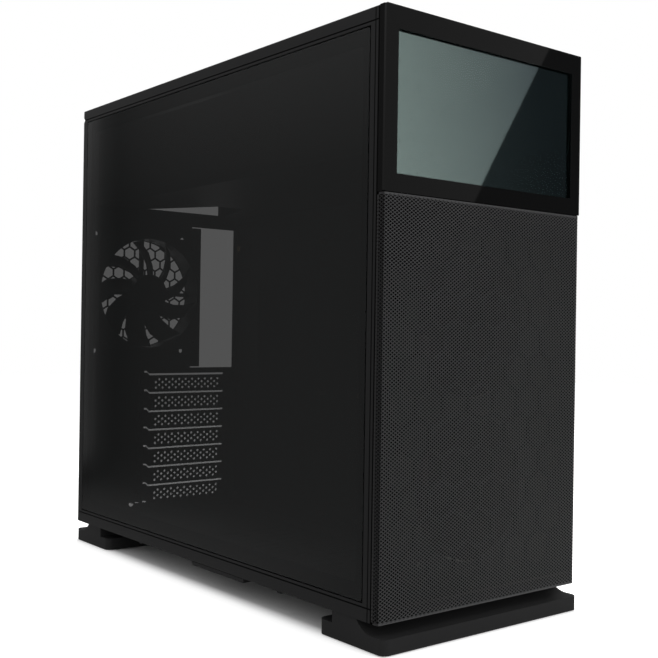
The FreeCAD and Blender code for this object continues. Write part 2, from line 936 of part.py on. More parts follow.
def grommet_heights():
    """Middles of the three cable openings, evenly up the tray."""
    return [floor_z + s.bay_height * share for share in (0.2, 0.5, 0.8)]


def make_grommets():
    """Rubber rims in the cable openings of the tray, with a slit web across each."""
    rim = new_body("grommet")
    y = grommet_y
    z = grommet_heights()[0]
    half_width = s.grommet_width / 2
    half_height = s.grommet_height / 2
    radius = s.window_radius
    edge = s.grommet_rim
    lip = [tray_x - s.grommet_depth / 3, tray_x]
    hole = rounded(
        y - half_width + edge, z - half_height + edge, y + half_width - edge, z + half_height - edge,
        radius - edge,
    )
    flange = rounded(
        y - half_width - edge, z - half_height - edge, y + half_width + edge, z + half_height + edge,
        radius + edge,
    )
    plug = rounded(y - half_width, z - half_height, y + half_width, z + half_height, radius)
    pad(rim, "YZ", lip[0], lip[1], flange, hole)
    pad(rim, "YZ", lip[1], tray_x + s.steel, plug, hole)
    first = grommet_heights()[0]
    copies("tray_grommets", rim, [(0, 0, height - first) for height in grommet_heights()])


def standoff_places():
    """The nine screw places of a full size main board, as depth and height."""
    depths = [panel_inner - s.board_gap - offset for offset in BOARD_DEPTHS]
    heights = [floor_z + s.board_bottom + offset for offset in BOARD_HEIGHTS]
    return [(y, z) for y in depths for z in heights]


def make_standoffs():
    """Hexagonal brass pillars that hold the main board off its tray."""
    radius = s.standoff_flats / math.sqrt(3)
    pillar = doc.addObject("Part::Prism", "standoff")
    pillar.Polygon = 6
    pillar.Placement = Placement(Vector(), TURNS["x"])
    y, z = standoff_places()[0]
    bind(pillar, Circumradius=radius, Height=s.standoff_height)
    bind(pillar, Placement_Base_x=tray_x - s.standoff_height, Placement_Base_y=y, Placement_Base_z=z)
    collar = rod("standoff_collar", "x", tray_x, y, z, s.standoff_hole, s.steel)
    top = tray_x - s.standoff_height
    bore = rod("standoff_bore", "x", top, y, z, s.screw_diameter, s.standoff_bore)
    whole = less("standoff_whole", joined("standoff_solid", pillar, collar), bore)
    copies("standoffs", whole, [(0, b - y, c - z) for b, c in standoff_places()])


def make_supply_bay():
    """Shelf and shroud of the power supply bay, with the vent that its fan breathes through."""
    bay = new_body("supply_bay")
    y0 = wall_y + s.steel
    high = top_z - s.band_height - s.shroud_gap
    shelf_high = bay_z + s.steel
    shroud = shroud_x + s.steel
    pad(
        bay, "XZ", y0, panel_inner,
        polygon(
            (shroud_x, bay_z), (seat_inner, bay_z), (seat_inner, shelf_high),
            (shroud, shelf_high), (shroud, high), (shroud_x, high),
        ),
    )
    vent_rear = panel_inner - s.steel
    left = s.vent_left - half
    right = half - s.vent_right
    slant = s.vent_slant * (right - left)
    front = vent_rear - s.vent_reach
    cut(
        bay, "XY", bay_z, shelf_high,
        polygon(
            (left, vent_rear), (left + slant, front), (right - slant / 2, front), (right, vent_rear),
        ),
    )
    node(bay)


def make_drive_cage():
    """Folded cage on the shelf that holds two hard drives by their side screws."""
    cage = new_body("drive_cage")
    x1 = s.cage_width / 2
    z0 = bay_z + s.steel
    y0 = front_y + s.cage_front
    y1 = y0 + s.cage_depth
    high = z0 + s.cage_height
    inside = x1 - s.steel
    deck = z0 + s.steel
    pad(
        cage, "XZ", y0, y1,
        polygon(
            (-x1, z0), (x1, z0), (x1, high), (inside, high),
            (inside, deck), (-inside, deck), (-inside, high), (-x1, high),
        ),
    )
    holes = []
    for z in (deck + s.cage_height * 0.2, deck + s.cage_height * 0.65):
        for y in (y0 + s.cage_depth * 0.25, y0 + s.cage_depth * 0.75):
            holes.append(disc(y, z, s.screw_hole))
    cut(cage, "YZ", -x1, x1, *holes)
    node(cage)


# Doors


def door_outline(inset):
    """Door edge, a given distance inside the edge of its opening."""
    return rounded(
        door_low_y + inset, door_low_z + inset, door_high_y - inset, door_high_z - inset, s.door_corner,
    )


def make_glass_door():
    """Tempered glass sheet bonded to a thin steel carrier."""
    gap = s.door_gap
    glass = new_body("side_glass")
    pad(glass, "YZ", -half, -half + s.glass_thickness, door_outline(gap))
    node(glass)
    carrier = new_body("glass_carrier")
    width = gap + s.carrier_width
    window = rect(door_low_y + width, door_low_z + width, door_high_y - width, door_high_z - width)
    pad(
        carrier, "YZ", -half + s.glass_thickness, -half + s.door_depth,
        door_outline(gap), window,
    )
    node(carrier)


def make_steel_door():
    """Steel door of the cable side: a flat sheet with its four edges folded in."""
    door = new_body("steel_door")
    gap = s.door_gap
    width = gap + s.carrier_width
    fold = gap + s.steel
    window = rect(door_low_y + width, door_low_z + width, door_high_y - width, door_high_z - width)
    walls = rect(door_low_y + fold, door_low_z + fold, door_high_y - fold, door_high_z - fold)
    seat = half - s.door_depth
    pad(door, "YZ", half - s.steel, half, door_outline(gap))
    pad(door, "YZ", seat + s.steel, half - s.steel, door_outline(gap), walls)
    pad(door, "YZ", seat, seat + s.steel, door_outline(gap), window)
    node(door)


def make_catches(side, name):
    """Two studs on a door and the two nylon clips that grip them behind the seat."""
    seat = half - s.door_depth
    y = middle_y - s.catch_spacing / 2
    length = s.stud_length
    neck_length = length / 2
    neck = new_body(name + "_stud")
    radius = s.stud_diameter / 2
    start = side * seat
    inner = side * (seat - neck_length)
    end = side * (seat - length)
    pad(neck, "YZ", start, inner, disc(y, stud_z, s.stud_neck))
    pad(neck, "YZ", inner, end, disc(y, stud_z, 2 * radius))
    moves = [(0, 0, 0), (0, s.catch_spacing, 0)]
    copies(name + "_studs", neck, moves)
    clip = new_body(name + "_clip")
    bore = s.stud_diameter + 2 * s.catch_clearance
    pad(
        clip, "YZ", side * seat_inner, side * (seat_inner - s.clip_length),
        disc(y, stud_z, s.clip_diameter), disc(y, stud_z, bore),
    )
    copies(name + "_clips", clip, moves)


# Front panel


def pin_places():
    """Places of the four push pins of the front panel, as width and height."""
    x = half - s.pin_inset
    low = floor_z + s.steel + s.bezel_bar / 2
    high = top_z - s.window_border_top / 2
    return [(side * x, z) for side in (-1, 1) for z in (low, high)]


def make_front_bezel():
    """Moulded front frame with a honeycomb in its lower part and a screen recess above."""
    bezel = new_body("front_bezel_blank")
    front = front_y + s.window_thickness
    back = front_y + s.front_depth
    wall = s.bezel_wall
    inner_mesh = half - s.mesh_thickness
    pad(
        bezel, "XZ", front, back,
        rect(-half, split_z, half, top_z),
        rect(-half + s.window_border, split_z + s.window_border_bottom,
             half - s.window_border, top_z - s.window_border_top),
    )
    pad(
        bezel, "XZ", front_y + s.mesh_thickness, back,
        rect(-inner_mesh, floor_z, inner_mesh, split_z),
        rect(-inner_mesh + wall, floor_z + s.bezel_bar, inner_mesh - wall, split_z - s.bezel_bar),
    )
    pad(
        bezel, "XZ", back - s.comb_thickness, back,
        rect(-inner_mesh + wall, floor_z + s.bezel_bar, inner_mesh - wall, split_z - s.bezel_bar),
    )
    edge = s.bezel_wall / 2
    x = half - s.window_border
    z0 = split_z + s.window_border_bottom
    z1 = top_z - s.window_border_top
    pad(
        bezel, "XZ", back, front_y + s.screen_recess + s.screen_thickness,
        rect(-x - edge, z0 - edge, x + edge, z1 + edge), rect(-x, z0, x, z1),
    )
    node(less("front_bezel", bezel, shaped("bezel_cells", bezel_cells())))


def bezel_cells():
    """Large honeycomb cells of the lower front, whole cells only."""
    pitch = s.comb_pitch.value
    across = pitch - s.comb_web.value
    rise = pitch * math.sqrt(3) / 2
    y1 = (front_y + s.front_depth).value
    y0 = y1 - s.comb_thickness.value
    low = (floor_z + s.bezel_bar).value
    high = (split_z - s.bezel_bar).value
    reach = (half - s.mesh_thickness - s.bezel_wall).value
    radius = across / math.sqrt(3)
    middle = (low + high) / 2
    rows = int((high - low) / 2 / rise)
    columns = int(reach / pitch) + 1
    cells = []
    for row in range(-rows, rows + 1):
        shift = 0.5 * (row % 2)
        for column in range(-columns, columns + 1):
            x = (column + shift) * pitch
            z = middle + row * rise
            if abs(x) + across / 2 > reach or z - radius < low or z + radius > high:
                continue
            cells.append(hexagon(x, z, across, y0, y1))
    return Part.makeCompound(cells)


def make_front_pins():
    """Push pins that hold the front panel in the chassis."""
    back = front_y + s.front_depth
    length = s.post_end - s.front_depth + s.pin_length
    x, z = pin_places()[0]
    pin = rod("front_pin", "y", x, back, z, s.pin_diameter, length)
    copies("front_pins", pin, [(a - x, 0, b - z) for a, b in pin_places()])


def make_window_glass():
    """Flat glass over the screen recess, the full width of the front."""
    glass = new_body("window_glass")
    pad(
        glass, "XZ", front_y, front_y + s.window_thickness,
        rounded(-half, split_z + s.seam, half, top_z, s.door_corner / 2),
    )
    node(glass)


def make_front_mesh():
    """Perforated sheet of the lower front, folded back round both sides."""
    mesh = new_body("front_mesh_blank")
    back = front_y + s.front_depth
    behind = front_y + s.mesh_thickness
    inside = half - s.mesh_thickness
    high = split_z - s.mesh_gap
    pad(
        mesh, "XY", floor_z, high,
        polygon(
            (-half, back), (-half, front_y), (half, front_y), (half, back),
            (inside, back), (inside, behind), (-inside, behind), (-inside, back),
        ),
    )

    def corner(edge):
        point = edge.CenterOfMass
        at_front = abs(point.y - front_y.value) < 0.01 and abs(abs(point.x) - half.value) < 0.01
        return along("z")(edge) and at_front

    dress(mesh, "Fillet", s.mesh_corner, corner)
    node(less("front_mesh", mesh, shaped("mesh_cells", mesh_cells())))


def mesh_cells():
    """Diamonds between crossing wires, in rows over the flat of the sheet."""
    columns = int(s.mesh_columns.value)
    rows = int(s.mesh_rows.value)
    low = (floor_z + s.mesh_margin).value
    high = (split_z - s.mesh_gap - s.mesh_margin).value
    left = (-half + s.mesh_margin).value
    width = -2 * left / columns
    height = (high - low) / rows
    dx = (width - s.mesh_web.value) / 2
    dz = (height - s.mesh_web.value) / 2
    y0 = front_y.value
    cells = []
    for row in range(rows):
        z = low + (row + 0.5) * height
        for column in range(columns):
            x = left + (column + 0.5) * width
            cells.append(diamond(x, z, dx, dz, y0, s.mesh_thickness.value))
    return Part.makeCompound(cells)


def make_screen():
    """Clear screen panel at the bottom of the recess, and the light strip under its edge."""
    x = half - s.window_border
    z0 = split_z + s.window_border_bottom
    z1 = top_z - s.window_border_top
    y0 = front_y + s.screen_recess
    node(box("screen_panel", -x, y0, z0 + s.led_height, x, y0 + s.screen_thickness, z1))
    node(box("light_strip", -x, y0 + s.screen_thickness - s.led_width, z0, x,
             y0 + s.screen_thickness, z0 + s.led_height - s.screen_gap))


# Fan


def make_fan_frame():
    """Square fan frame: two flanges, a round barrel, and struts to the motor seat."""
    frame = new_body("fan_frame")
    y1 = panel_inner
    y0 = y1 - s.fan_thickness
    reach = fan_side / 2
    hole = fan_screw_pitch / 2
    corner = [disc(fan_x + dx * hole, fan_z + dz * hole, s.fan_hole) for dx, dz in CORNERS]

    def square():
        return rounded(fan_x - reach, fan_z - reach, fan_x + reach, fan_z + reach, s.fan_corner)

    bore = fan_bore
    pad(frame, "XZ", y0, y0 + s.fan_flange, square(), disc(fan_x, fan_z, bore), *corner)
    pad(frame, "XZ", y1 - s.fan_flange, y1, square(), disc(fan_x, fan_z, bore), *corner)
    barrel = bore + 2 * s.fan_barrel_wall
    pad(
        frame, "XZ", y0 + s.fan_flange, y1 - s.fan_flange,
        disc(fan_x, fan_z, barrel), disc(fan_x, fan_z, bore),
    )
    seat = y1 - s.motor_depth
    overlap = (bore + s.fan_barrel_wall) / 2
    pad(
        frame, "XZ", seat, y1 - s.steel,
        rect(fan_x - overlap, fan_z - s.strut_width / 2, fan_x + overlap, fan_z + s.strut_width / 2),
    )
    pad(
        frame, "XZ", seat, y1 - s.steel,
        rect(fan_x - s.strut_width / 2, fan_z - overlap, fan_x + s.strut_width / 2, fan_z + overlap),
    )
    pad(frame, "XZ", seat, y1 - s.steel, disc(fan_x, fan_z, s.motor_diameter))
    cut(frame, "XZ", seat - s.bearing_length, y1, disc(fan_x, fan_z, s.bearing_diameter))
    node(frame)


def make_fan_bearing():
    """Sleeve bearing pressed into the motor seat."""
    bearing = new_body("fan_bearing")
    end = panel_inner - s.steel
    bore = s.shaft_diameter + 2 * s.shaft_clearance
    pad(
        bearing, "XZ", end - s.bearing_length, end,
        disc(fan_x, fan_z, s.bearing_diameter), disc(fan_x, fan_z, bore),
    )
    node(bearing)


def make_fan_rotor():
    """Cup hub on its shaft, with swept blades whose tips follow the barrel."""
    hub = new_body("fan_hub")
    y0 = panel_inner - s.fan_thickness + s.steel
    y1 = y0 + s.hub_depth
    outer = s.hub_diameter
    pad(hub, "XZ", y0, y0 + s.hub_wall, disc(fan_x, fan_z, outer))
    pad(
        hub, "XZ", y0 + s.hub_wall, y1,
        disc(fan_x, fan_z, outer), disc(fan_x, fan_z, outer - 2 * s.hub_wall),
    )
    shaft_end = panel_inner - 2 * s.steel
    pad(hub, "XZ", y0 + s.hub_wall, shaft_end, disc(fan_x, fan_z, s.shaft_diameter))
    blades = shaped("fan_blades", fan_blades(y0.value, y1.value))
    node(joined("fan_rotor", hub, blades), "fan_rotor")


def blade_section(radius, turn, chord, middle):
    """Thin curved section, set at the pitch angle, on a plane square to the radius."""
    angle = math.radians(s.blade_pitch_angle.value)
    thick = s.blade_thickness.value / 2
    rise = chord * 0.1
    swing = Rotation(Vector(0, 1, 0), turn)
    centre = Vector(fan_x.value, middle, fan_z.value)

    def place(along_chord, across):
        tangent = along_chord * math.cos(angle) - across * math.sin(angle)
        depth = along_chord * math.sin(angle) + across * math.cos(angle)
        return centre + swing.multVec(Vector(tangent, depth, radius))

    half_chord = chord / 2
    front = Part.Arc(place(-half_chord, -thick), place(0, rise - thick), place(half_chord, -thick))
    rear = Part.Arc(place(half_chord, thick), place(0, rise + thick), place(-half_chord, thick))
    tip = Part.LineSegment(place(half_chord, -thick), place(half_chord, thick))
    tail = Part.LineSegment(place(-half_chord, thick), place(-half_chord, -thick))
    return Part.Wire([front.toShape(), tip.toShape(), rear.toShape(), tail.toShape()])


def fan_blades(y0, y1):
    """All blades, lofted from hub to tip and cut off round at the barrel clearance."""
    middle = (y0 + y1) / 2
    inner = s.hub_diameter.value / 2
    tip = fan_bore.value / 2 - s.blade_tip_gap.value
    count = int(s.blade_count.value)
    sweep = s.blade_sweep.value
    root = inner - s.hub_wall.value * 2
    start = s.blade_start.value
    chord = s.blade_chord.value
    sections = []
    for step in range(4):
        share = step / 3
        radius = root + (tip + 1 - root) * share
        turn = start + sweep * share
        sections.append(blade_section(radius, turn, chord * (0.6 + 0.4 * share), middle))
    loft = Part.makeLoft(sections, True, True)
    axis = Vector(0, 1, 0)
    base = Vector(fan_x.value, y0, fan_z.value)
    keep = Part.makeCylinder(tip, y1 - y0, base, axis)
    keep = keep.cut(Part.makeCylinder(inner - s.hub_wall.value / 2, y1 - y0, base, axis))
    blade = loft.common(keep)
    blades = []
    for index in range(count):
        copy = blade.copy()
        copy.rotate(base, axis, 360 * index / count)
        blades.append(copy)
    return Part.makeCompound(blades)


def make_fan_screws():
    """Self tapping screws through the rear slots into the fan flange."""
    reach = fan_screw_pitch / 2
    length = s.steel + s.fan_flange
    x = fan_x - reach
    z = fan_z - reach
    shank = rod("fan_screw_shank", "y", x, panel_outer - length, z, s.fan_hole, length)
    head = rod("fan_screw_head", "y", x, panel_outer, z, s.thumb_diameter, s.thumb_height)
    screw = joined("fan_screw", shank, head)
    moves = [((dx + 1) * reach, 0, (dz + 1) * reach) for dx, dz in CORNERS]
    copies("fan_screws", screw, moves)


# Feet and floor filter


def make_foot(end, label):
    """Moulded foot bar: a slab with a riser that curves down to its outer tip."""
    foot = new_body(label)
    tip = front_y - s.foot_overhang if end < 0 else rear_y + s.foot_overhang
    low = s.pad_proud
    slab = low + s.foot_slab - s.pad_proud
    start = s.foot_riser_start
    stop = start + s.foot_riser_length

    def at(offset):
        return tip + offset if end < 0 else tip - offset

    reach = half - s.foot_inset
    pad(
        foot, "YZ", -reach, reach,
        polygon(
            (at(as_size(0)), low), (at(s.foot_depth), low), (at(s.foot_depth), slab),
            (at(stop), slab), (at(stop), floor_z), (at(start), floor_z), (at(start), slab),
            (at(as_size(0)), slab),
        ),
    )
    pad(foot, "YZ", -reach, reach, hollow(at(start - s.foot_curve), slab, at(start), floor_z))

    def upright(edge):
        point = edge.CenterOfMass
        at_end = abs(point.y - tip.value) < 0.01 or abs(point.y - at(s.foot_depth).value) < 0.01
        return along("z")(edge) and at_end

    dress(foot, "Fillet", s.foot_corner, upright)
    y = at(s.foot_depth / 2)
    x = reach - s.pad_inset
    depth = s.pad_thickness - s.pad_proud
    cut(
        foot, "XY", low, low + depth,
        disc(-x, y, s.pad_diameter + s.seam), disc(x, y, s.pad_diameter + s.seam),
    )
    node(foot)


def make_foot_pads():
    """Rubber pads let into the underside of both feet."""
    x = half - s.foot_inset - s.pad_inset
    y = front_y - s.foot_overhang + s.foot_depth / 2
    rear = rear_y + s.foot_overhang - s.foot_depth / 2
    disc_pad = rod("foot_pad", "z", -x, y, 0, s.pad_diameter, s.pad_thickness)
    moves = [(0, 0, 0), (2 * x, 0, 0), (0, rear - y, 0), (2 * x, rear - y, 0)]
    copies("foot_pads", disc_pad, moves)


def make_filter():
    """Dust filter that slides out sideways under the floor, with its screen."""
    frame = new_body("filter_frame")
    x1 = s.filter_width / 2
    y1 = s.filter_depth / 2
    high = floor_z - s.rail_clearance
    low = high - s.filter_thickness
    bar = s.filter_bar
    screen_low = low + s.filter_thickness / 2 - s.filter_screen / 2
    bars = [rect(-x1 + bar, -y1 + bar, -bar / 2, y1 - bar), rect(bar / 2, -y1 + bar, x1 - bar, y1 - bar)]
    pad(frame, "XY", low, high, rect(-x1, -y1, x1, y1), *bars)
    grip = s.filter_grip / 2
    pad(frame, "XY", low, high, rect(-half, s.filter_grip_y - grip, -x1, s.filter_grip_y + grip))
    node(frame)
    screens = []
    for side in (-1, 1):
        x0, x2 = sorted((side * bar / 2, side * (x1 - bar)), key=lambda size: size.value)
        name = f"screen_{side + 1}"
        screens.append(box(name, x0, -y1 + bar, screen_low, x2, y1 - bar, screen_low + s.filter_screen))
    doc.recompute()
    node(shaped("filter_screen", Part.makeCompound([item.Shape for item in screens])), "filter_screen")


def make_filter_rails():
    """Two folded rails under the floor that the filter frame slides in."""
    inner = s.filter_depth / 2 + s.rail_clearance
    outer = inner + s.steel
    under = floor_z - s.filter_thickness - 2 * s.rail_clearance
    low = under - s.steel
    x1 = s.filter_width / 2
    rails = []
    for side in (-1, 1):
        rail = new_body(f"rail_{side + 1}")
        pad(
            rail, "YZ", -x1, x1,
            polygon(
                (side * outer, floor_z), (side * inner, floor_z), (side * inner, under),
                (side * (inner - s.rail_lip), under), (side * (inner - s.rail_lip), low),
                (side * outer, low),
            ),
        )
        rails.append(rail)
    doc.recompute()
    node(shaped("filter_rails", Part.makeCompound([item.Shape for item in rails])), "filter_rails")


# Top controls


def make_controls():
    """Buttons, ports and their housing under the front edge of the roof."""
    y = front_y + s.control_y
    (first_x, power_hole), (light_x, light_hole) = ROUND_CONTROLS[:2]
    travel = s.power_travel
    low = top_z - s.button_height
    for label, x, diameter in (
        ("power_button", first_x, power_hole - 2 * s.button_gap),
        ("light_button", light_x, light_hole - 2 * s.button_gap),
    ):
        button = new_body(label)
        pad(button, "XY", low, top_z, disc(x, y, diameter))
        flange = diameter + 4 * s.steel
        pad(button, "XY", low, cover_under - s.seam, disc(x, y, flange))
        node(button)
    housing = new_body("control_housing")
    high = cover_under
    base = high - s.housing_height
    left = ROUND_CONTROLS[-1][0] - s.housing_end
    deep = s.housing_depth / 2
    pad(housing, "XY", base, high, rect(left, y - deep, housing_right, y + deep))
    wells = []
    for x, diameter in ROUND_CONTROLS[:2]:
        wells.append(disc(x, y, diameter + 6 * s.steel))
    cut(housing, "XY", low - travel - s.seam, high, *wells)
    holes = [disc(x, y, diameter) for x, diameter in ROUND_CONTROLS[2:]]
    holes += [centred(x, y, width, height) for x, width, height in FLAT_CONTROLS]
    cut(housing, "XY", top_z - s.port_depth, high, *holes)
    node(housing)
    make_ports(y)


def make_ports(y):
    """Connector shells with their tongues, and the sound sockets."""
    low = top_z - s.port_depth
    wall = s.port_wall
    rise = s.tongue
    shells = []
    for number, (x, width, height) in enumerate(FLAT_CONTROLS):
        shell = new_body(f"port_{number}")
        pad(
            shell, "XY", low, top_z,
            centred(x, y, width, height), centred(x, y, width - 2 * wall, height - 2 * wall),
        )
        pad(shell, "XY", low, low + wall, centred(x, y, width - wall, height - wall))
        tongue = rise if number < 2 else rise / 2
        offset = height / 2 - wall - tongue if number < 2 else as_size(0)
        pad(
            shell, "XY", low, top_z - rise,
            centred(x, y + offset, width - 4 * wall, tongue),
        )
        shells.append(shell)
    doc.recompute()
    node(shaped("usb_ports", Part.makeCompound([item.Shape for item in shells[:2]])), "usb_ports")
    node(shells[2], "usb_c_port")
    jack = new_body("jack")
    first = ROUND_CONTROLS[2][0]
    pad(jack, "XY", low, top_z, disc(first, y, s.jack_diameter))
    cut(jack, "XY", low + wall, top_z, disc(first, y, s.jack_bore))
    copies("audio_jacks", jack, [(0, 0, 0), (-s.jack_spacing, 0, 0)])


CORNERS = ((-1, -1), (1, -1), (-1, 1), (1, 1))
SLOTS = 7
SLOT_ROWS = 4
SLOT_COLUMNS = 10
SUPPLY_SCREWS = ((-69, 80), (69, 80), (69, 16), (-45, 6))
BOARD_DEPTHS = (10.16, 165.1, 227.33)
BOARD_HEIGHTS = (6.35, 130.81, 288.29)
ROUND_CONTROLS = (
    (power_x, s.power_diameter),
    (power_x - s.port_spacing, s.light_diameter),
    (control_x - s.port_spacing * 2, s.jack_diameter),
    (control_x - s.port_spacing * 2 - s.jack_spacing, s.jack_diameter),
)
FLAT_CONTROLS = (
    (control_x + s.port_spacing, s.usb_width, s.usb_height),
    (control_x, s.usb_width, s.usb_height),
    (control_x - s.port_spacing, s.usb_c_width, s.usb_c_height),
)

make_base_pan()
make_top_cover()
make_side_frame(-1, "side_frame_left")
make_side_frame(1, "side_frame_right")
make_front_wall()
make_rear_panel()
make_slot_covers()
make_slot_screws()
make_slot_screw_cover()
make_board_tray()
make_grommets()
make_standoffs()
make_supply_bay()
make_drive_cage()
make_glass_door()
make_steel_door()
make_catches(-1, "glass")
make_catches(1, "door")
make_front_bezel()
make_front_pins()
make_window_glass()
make_front_mesh()
make_screen()
make_fan_frame()
make_fan_bearing()
make_fan_rotor()
make_fan_screws()
make_foot(-1, "front_foot")
make_foot(1, "rear_foot")
make_foot_pads()
make_filter()
make_filter_rails()
make_controls()

doc.recompute()
faults = [item.Name for item in doc.Objects if {"Invalid", "Error"} & set(item.State)]
faults += [item.Label for item in NODES if item.Shape.isNull() or not item.Shape.isValid()]
if faults:
    raise RuntimeError("failed: " + ", ".join(faults))
for item in NODES:
    item.Shape.exportStep(f"parts/{item.Label}.step")
print(len(NODES), "nodes written")
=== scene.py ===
"""Looks of a mid tower computer case, laid over its packed construction model.

Metres, in the construction frame: X across (glass side at -X), Y front to rear (front at -Y),
Z up, origin on the floor under the middle of the whole case.
"""
import json
import logging
import math
from collections.abc import Sequence
from dataclasses import dataclass, field
from enum import Enum

import bpy
import numpy as np
from mathutils import Matrix, Vector


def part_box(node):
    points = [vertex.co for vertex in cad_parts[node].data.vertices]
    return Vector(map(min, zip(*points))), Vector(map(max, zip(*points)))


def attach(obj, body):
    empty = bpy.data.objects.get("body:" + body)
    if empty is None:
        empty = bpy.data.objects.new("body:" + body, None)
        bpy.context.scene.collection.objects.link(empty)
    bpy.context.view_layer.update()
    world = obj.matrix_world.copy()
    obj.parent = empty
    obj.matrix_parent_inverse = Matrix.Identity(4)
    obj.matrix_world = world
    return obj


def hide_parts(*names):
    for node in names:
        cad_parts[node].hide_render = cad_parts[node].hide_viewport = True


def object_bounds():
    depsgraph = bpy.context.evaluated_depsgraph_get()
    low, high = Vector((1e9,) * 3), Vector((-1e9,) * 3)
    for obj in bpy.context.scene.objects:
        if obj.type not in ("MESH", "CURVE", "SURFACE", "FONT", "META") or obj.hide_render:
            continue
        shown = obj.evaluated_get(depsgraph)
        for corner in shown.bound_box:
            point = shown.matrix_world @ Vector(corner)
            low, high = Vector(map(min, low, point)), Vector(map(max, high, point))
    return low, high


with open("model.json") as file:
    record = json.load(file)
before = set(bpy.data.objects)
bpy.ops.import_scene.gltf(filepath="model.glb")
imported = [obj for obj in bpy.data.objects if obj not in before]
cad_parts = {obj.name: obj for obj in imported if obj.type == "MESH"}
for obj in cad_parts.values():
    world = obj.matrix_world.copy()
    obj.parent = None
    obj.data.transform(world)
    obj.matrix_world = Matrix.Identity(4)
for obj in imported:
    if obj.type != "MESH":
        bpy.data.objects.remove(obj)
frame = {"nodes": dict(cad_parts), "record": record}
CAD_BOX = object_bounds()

log = logging.getLogger("tower_case")
Colour = tuple[float, float, float]
Number = "float | Value"
Stops = Sequence[tuple[float, float]]

# Levels of the case that several pieces share.
HALF_WIDTH = 0.1065
FRONT = -0.24125
REAR = 0.23575
FLOOR = 0.021
TOP = 0.451
SPLIT = 0.3208
FRONT_DEPTH = 0.0069
BAND = 0.0098

# Front glass: printed border at the sides, below and above, and the film behind it.
BORDER_SIDE = 0.0118
BORDER_LOW = 0.0133
BORDER_TOP = 0.0163
GLASS_THICKNESS = 0.002
FILM_GAP = 0.0003
FILM_THICKNESS = 0.0002


# Shader maths


class Value:
    """A number socket of a node tree, whose arithmetic adds Math nodes."""

    def __init__(self, shader: "Nodes", socket: bpy.types.NodeSocket) -> None:
        """Keep the tree and the socket.

        Args:
            shader: tree that new nodes are added to.
            socket: output that carries the number.
        """
        self.shader = shader
        self.socket = socket

    def maths(self, operation: str, first: Number, second: Number = 0.0) -> "Value":
        """Add one Math node.

        Args:
            operation: name of the Math node's operation.
            first: first number or value.
            second: second number or value.

        Returns:
            The result as a new value.
        """
        made = self.shader.node("ShaderNodeMath", {"operation": operation}, {0: first, 1: second})
        return Value(self.shader, made.outputs[0])

    def __add__(self, other: Number) -> "Value":
        """Sum."""
        return self.maths("ADD", self, other)

    __radd__ = __add__

    def __sub__(self, other: Number) -> "Value":
        """Difference."""
        return self.maths("SUBTRACT", self, other)

    def __rsub__(self, other: Number) -> "Value":
        """Difference, reflected."""
        return self.maths("SUBTRACT", other, self)

    def __mul__(self, other: Number) -> "Value":
        """Product."""
        return self.maths("MULTIPLY", self, other)

    __rmul__ = __mul__

    def __truediv__(self, other: Number) -> "Value":
        """Quotient."""
        return self.maths("DIVIDE", self, other)

    def __gt__(self, other: Number) -> "Value":
        """One where this is above the other, else zero."""
        return self.maths("GREATER_THAN", self, other)

    def __lt__(self, other: Number) -> "Value":
        """One where this is below the other, else zero."""
        return self.maths("LESS_THAN", self, other)

    def size(self) -> "Value":
        """Absolute value."""
        return self.maths("ABSOLUTE", self)

    def most(self, other: Number) -> "Value":
        """Larger of the two."""
        return self.maths("MAXIMUM", self, other)

    def least(self, other: Number) -> "Value":
        """Smaller of the two."""
        return self.maths("MINIMUM", self, other)


class Nodes:
    """A node tree, with one method that adds every node."""

    def __init__(self, tree: bpy.types.NodeTree) -> None:
        """Keep the tree that nodes are added to."""
        self.tree = tree

    def node(self, kind: str, settings: dict | None = None, inputs: dict | None = None) -> bpy.types.Node:
        """Add a node.

        Args:
            kind: type of the node.
            settings: its own settings, set before its sockets.
            inputs: number, colour, socket or value for each input, by name or index.

        Returns:
            The new node.
        """
        made = self.tree.nodes.new(kind)
        for name, setting in (settings or {}).items():
            if name == "stops":
                self.set_stops(made.color_ramp, setting)
            else:
                setattr(made, name, setting)
        for name, given in (inputs or {}).items():
            self.feed(made.inputs[name], given)
        return made

    @staticmethod
    def set_stops(ramp: bpy.types.ColorRamp, stops: Stops) -> None:
        """Write the stops of a grey ramp.

        Args:
            ramp: ramp with its two first stops.
            stops: position and brightness of each stop.
        """
        while len(ramp.elements) < len(stops):
            ramp.elements.new(1.0)
        for element, (place, bright) in zip(ramp.elements, stops):
            element.position = place
            element.color = (bright, bright, bright, 1.0)

    def feed(self, socket: bpy.types.NodeSocket, given: object) -> None:
        """Set or link one input.

        Args:
            socket: input to fill.
            given: value, socket, number or colour.
        """
        if isinstance(given, Value):
            given = given.socket
        if isinstance(given, bpy.types.NodeSocket):
            self.tree.links.new(given, socket)
        elif isinstance(given, tuple) and len(given) == 3 and socket.type == "RGBA":
            socket.default_value = (*given, 1.0)
        else:
            socket.default_value = given

    def seen(self) -> Value:
        """One for camera, glossy and transmission rays, zero for others."""
        path = self.node("ShaderNodeLightPath")
        names = ("Is Camera Ray", "Is Glossy Ray", "Is Transmission Ray")
        camera, gloss, through = (Value(self, path.outputs[name]) for name in names)
        return camera.most(gloss).most(through)


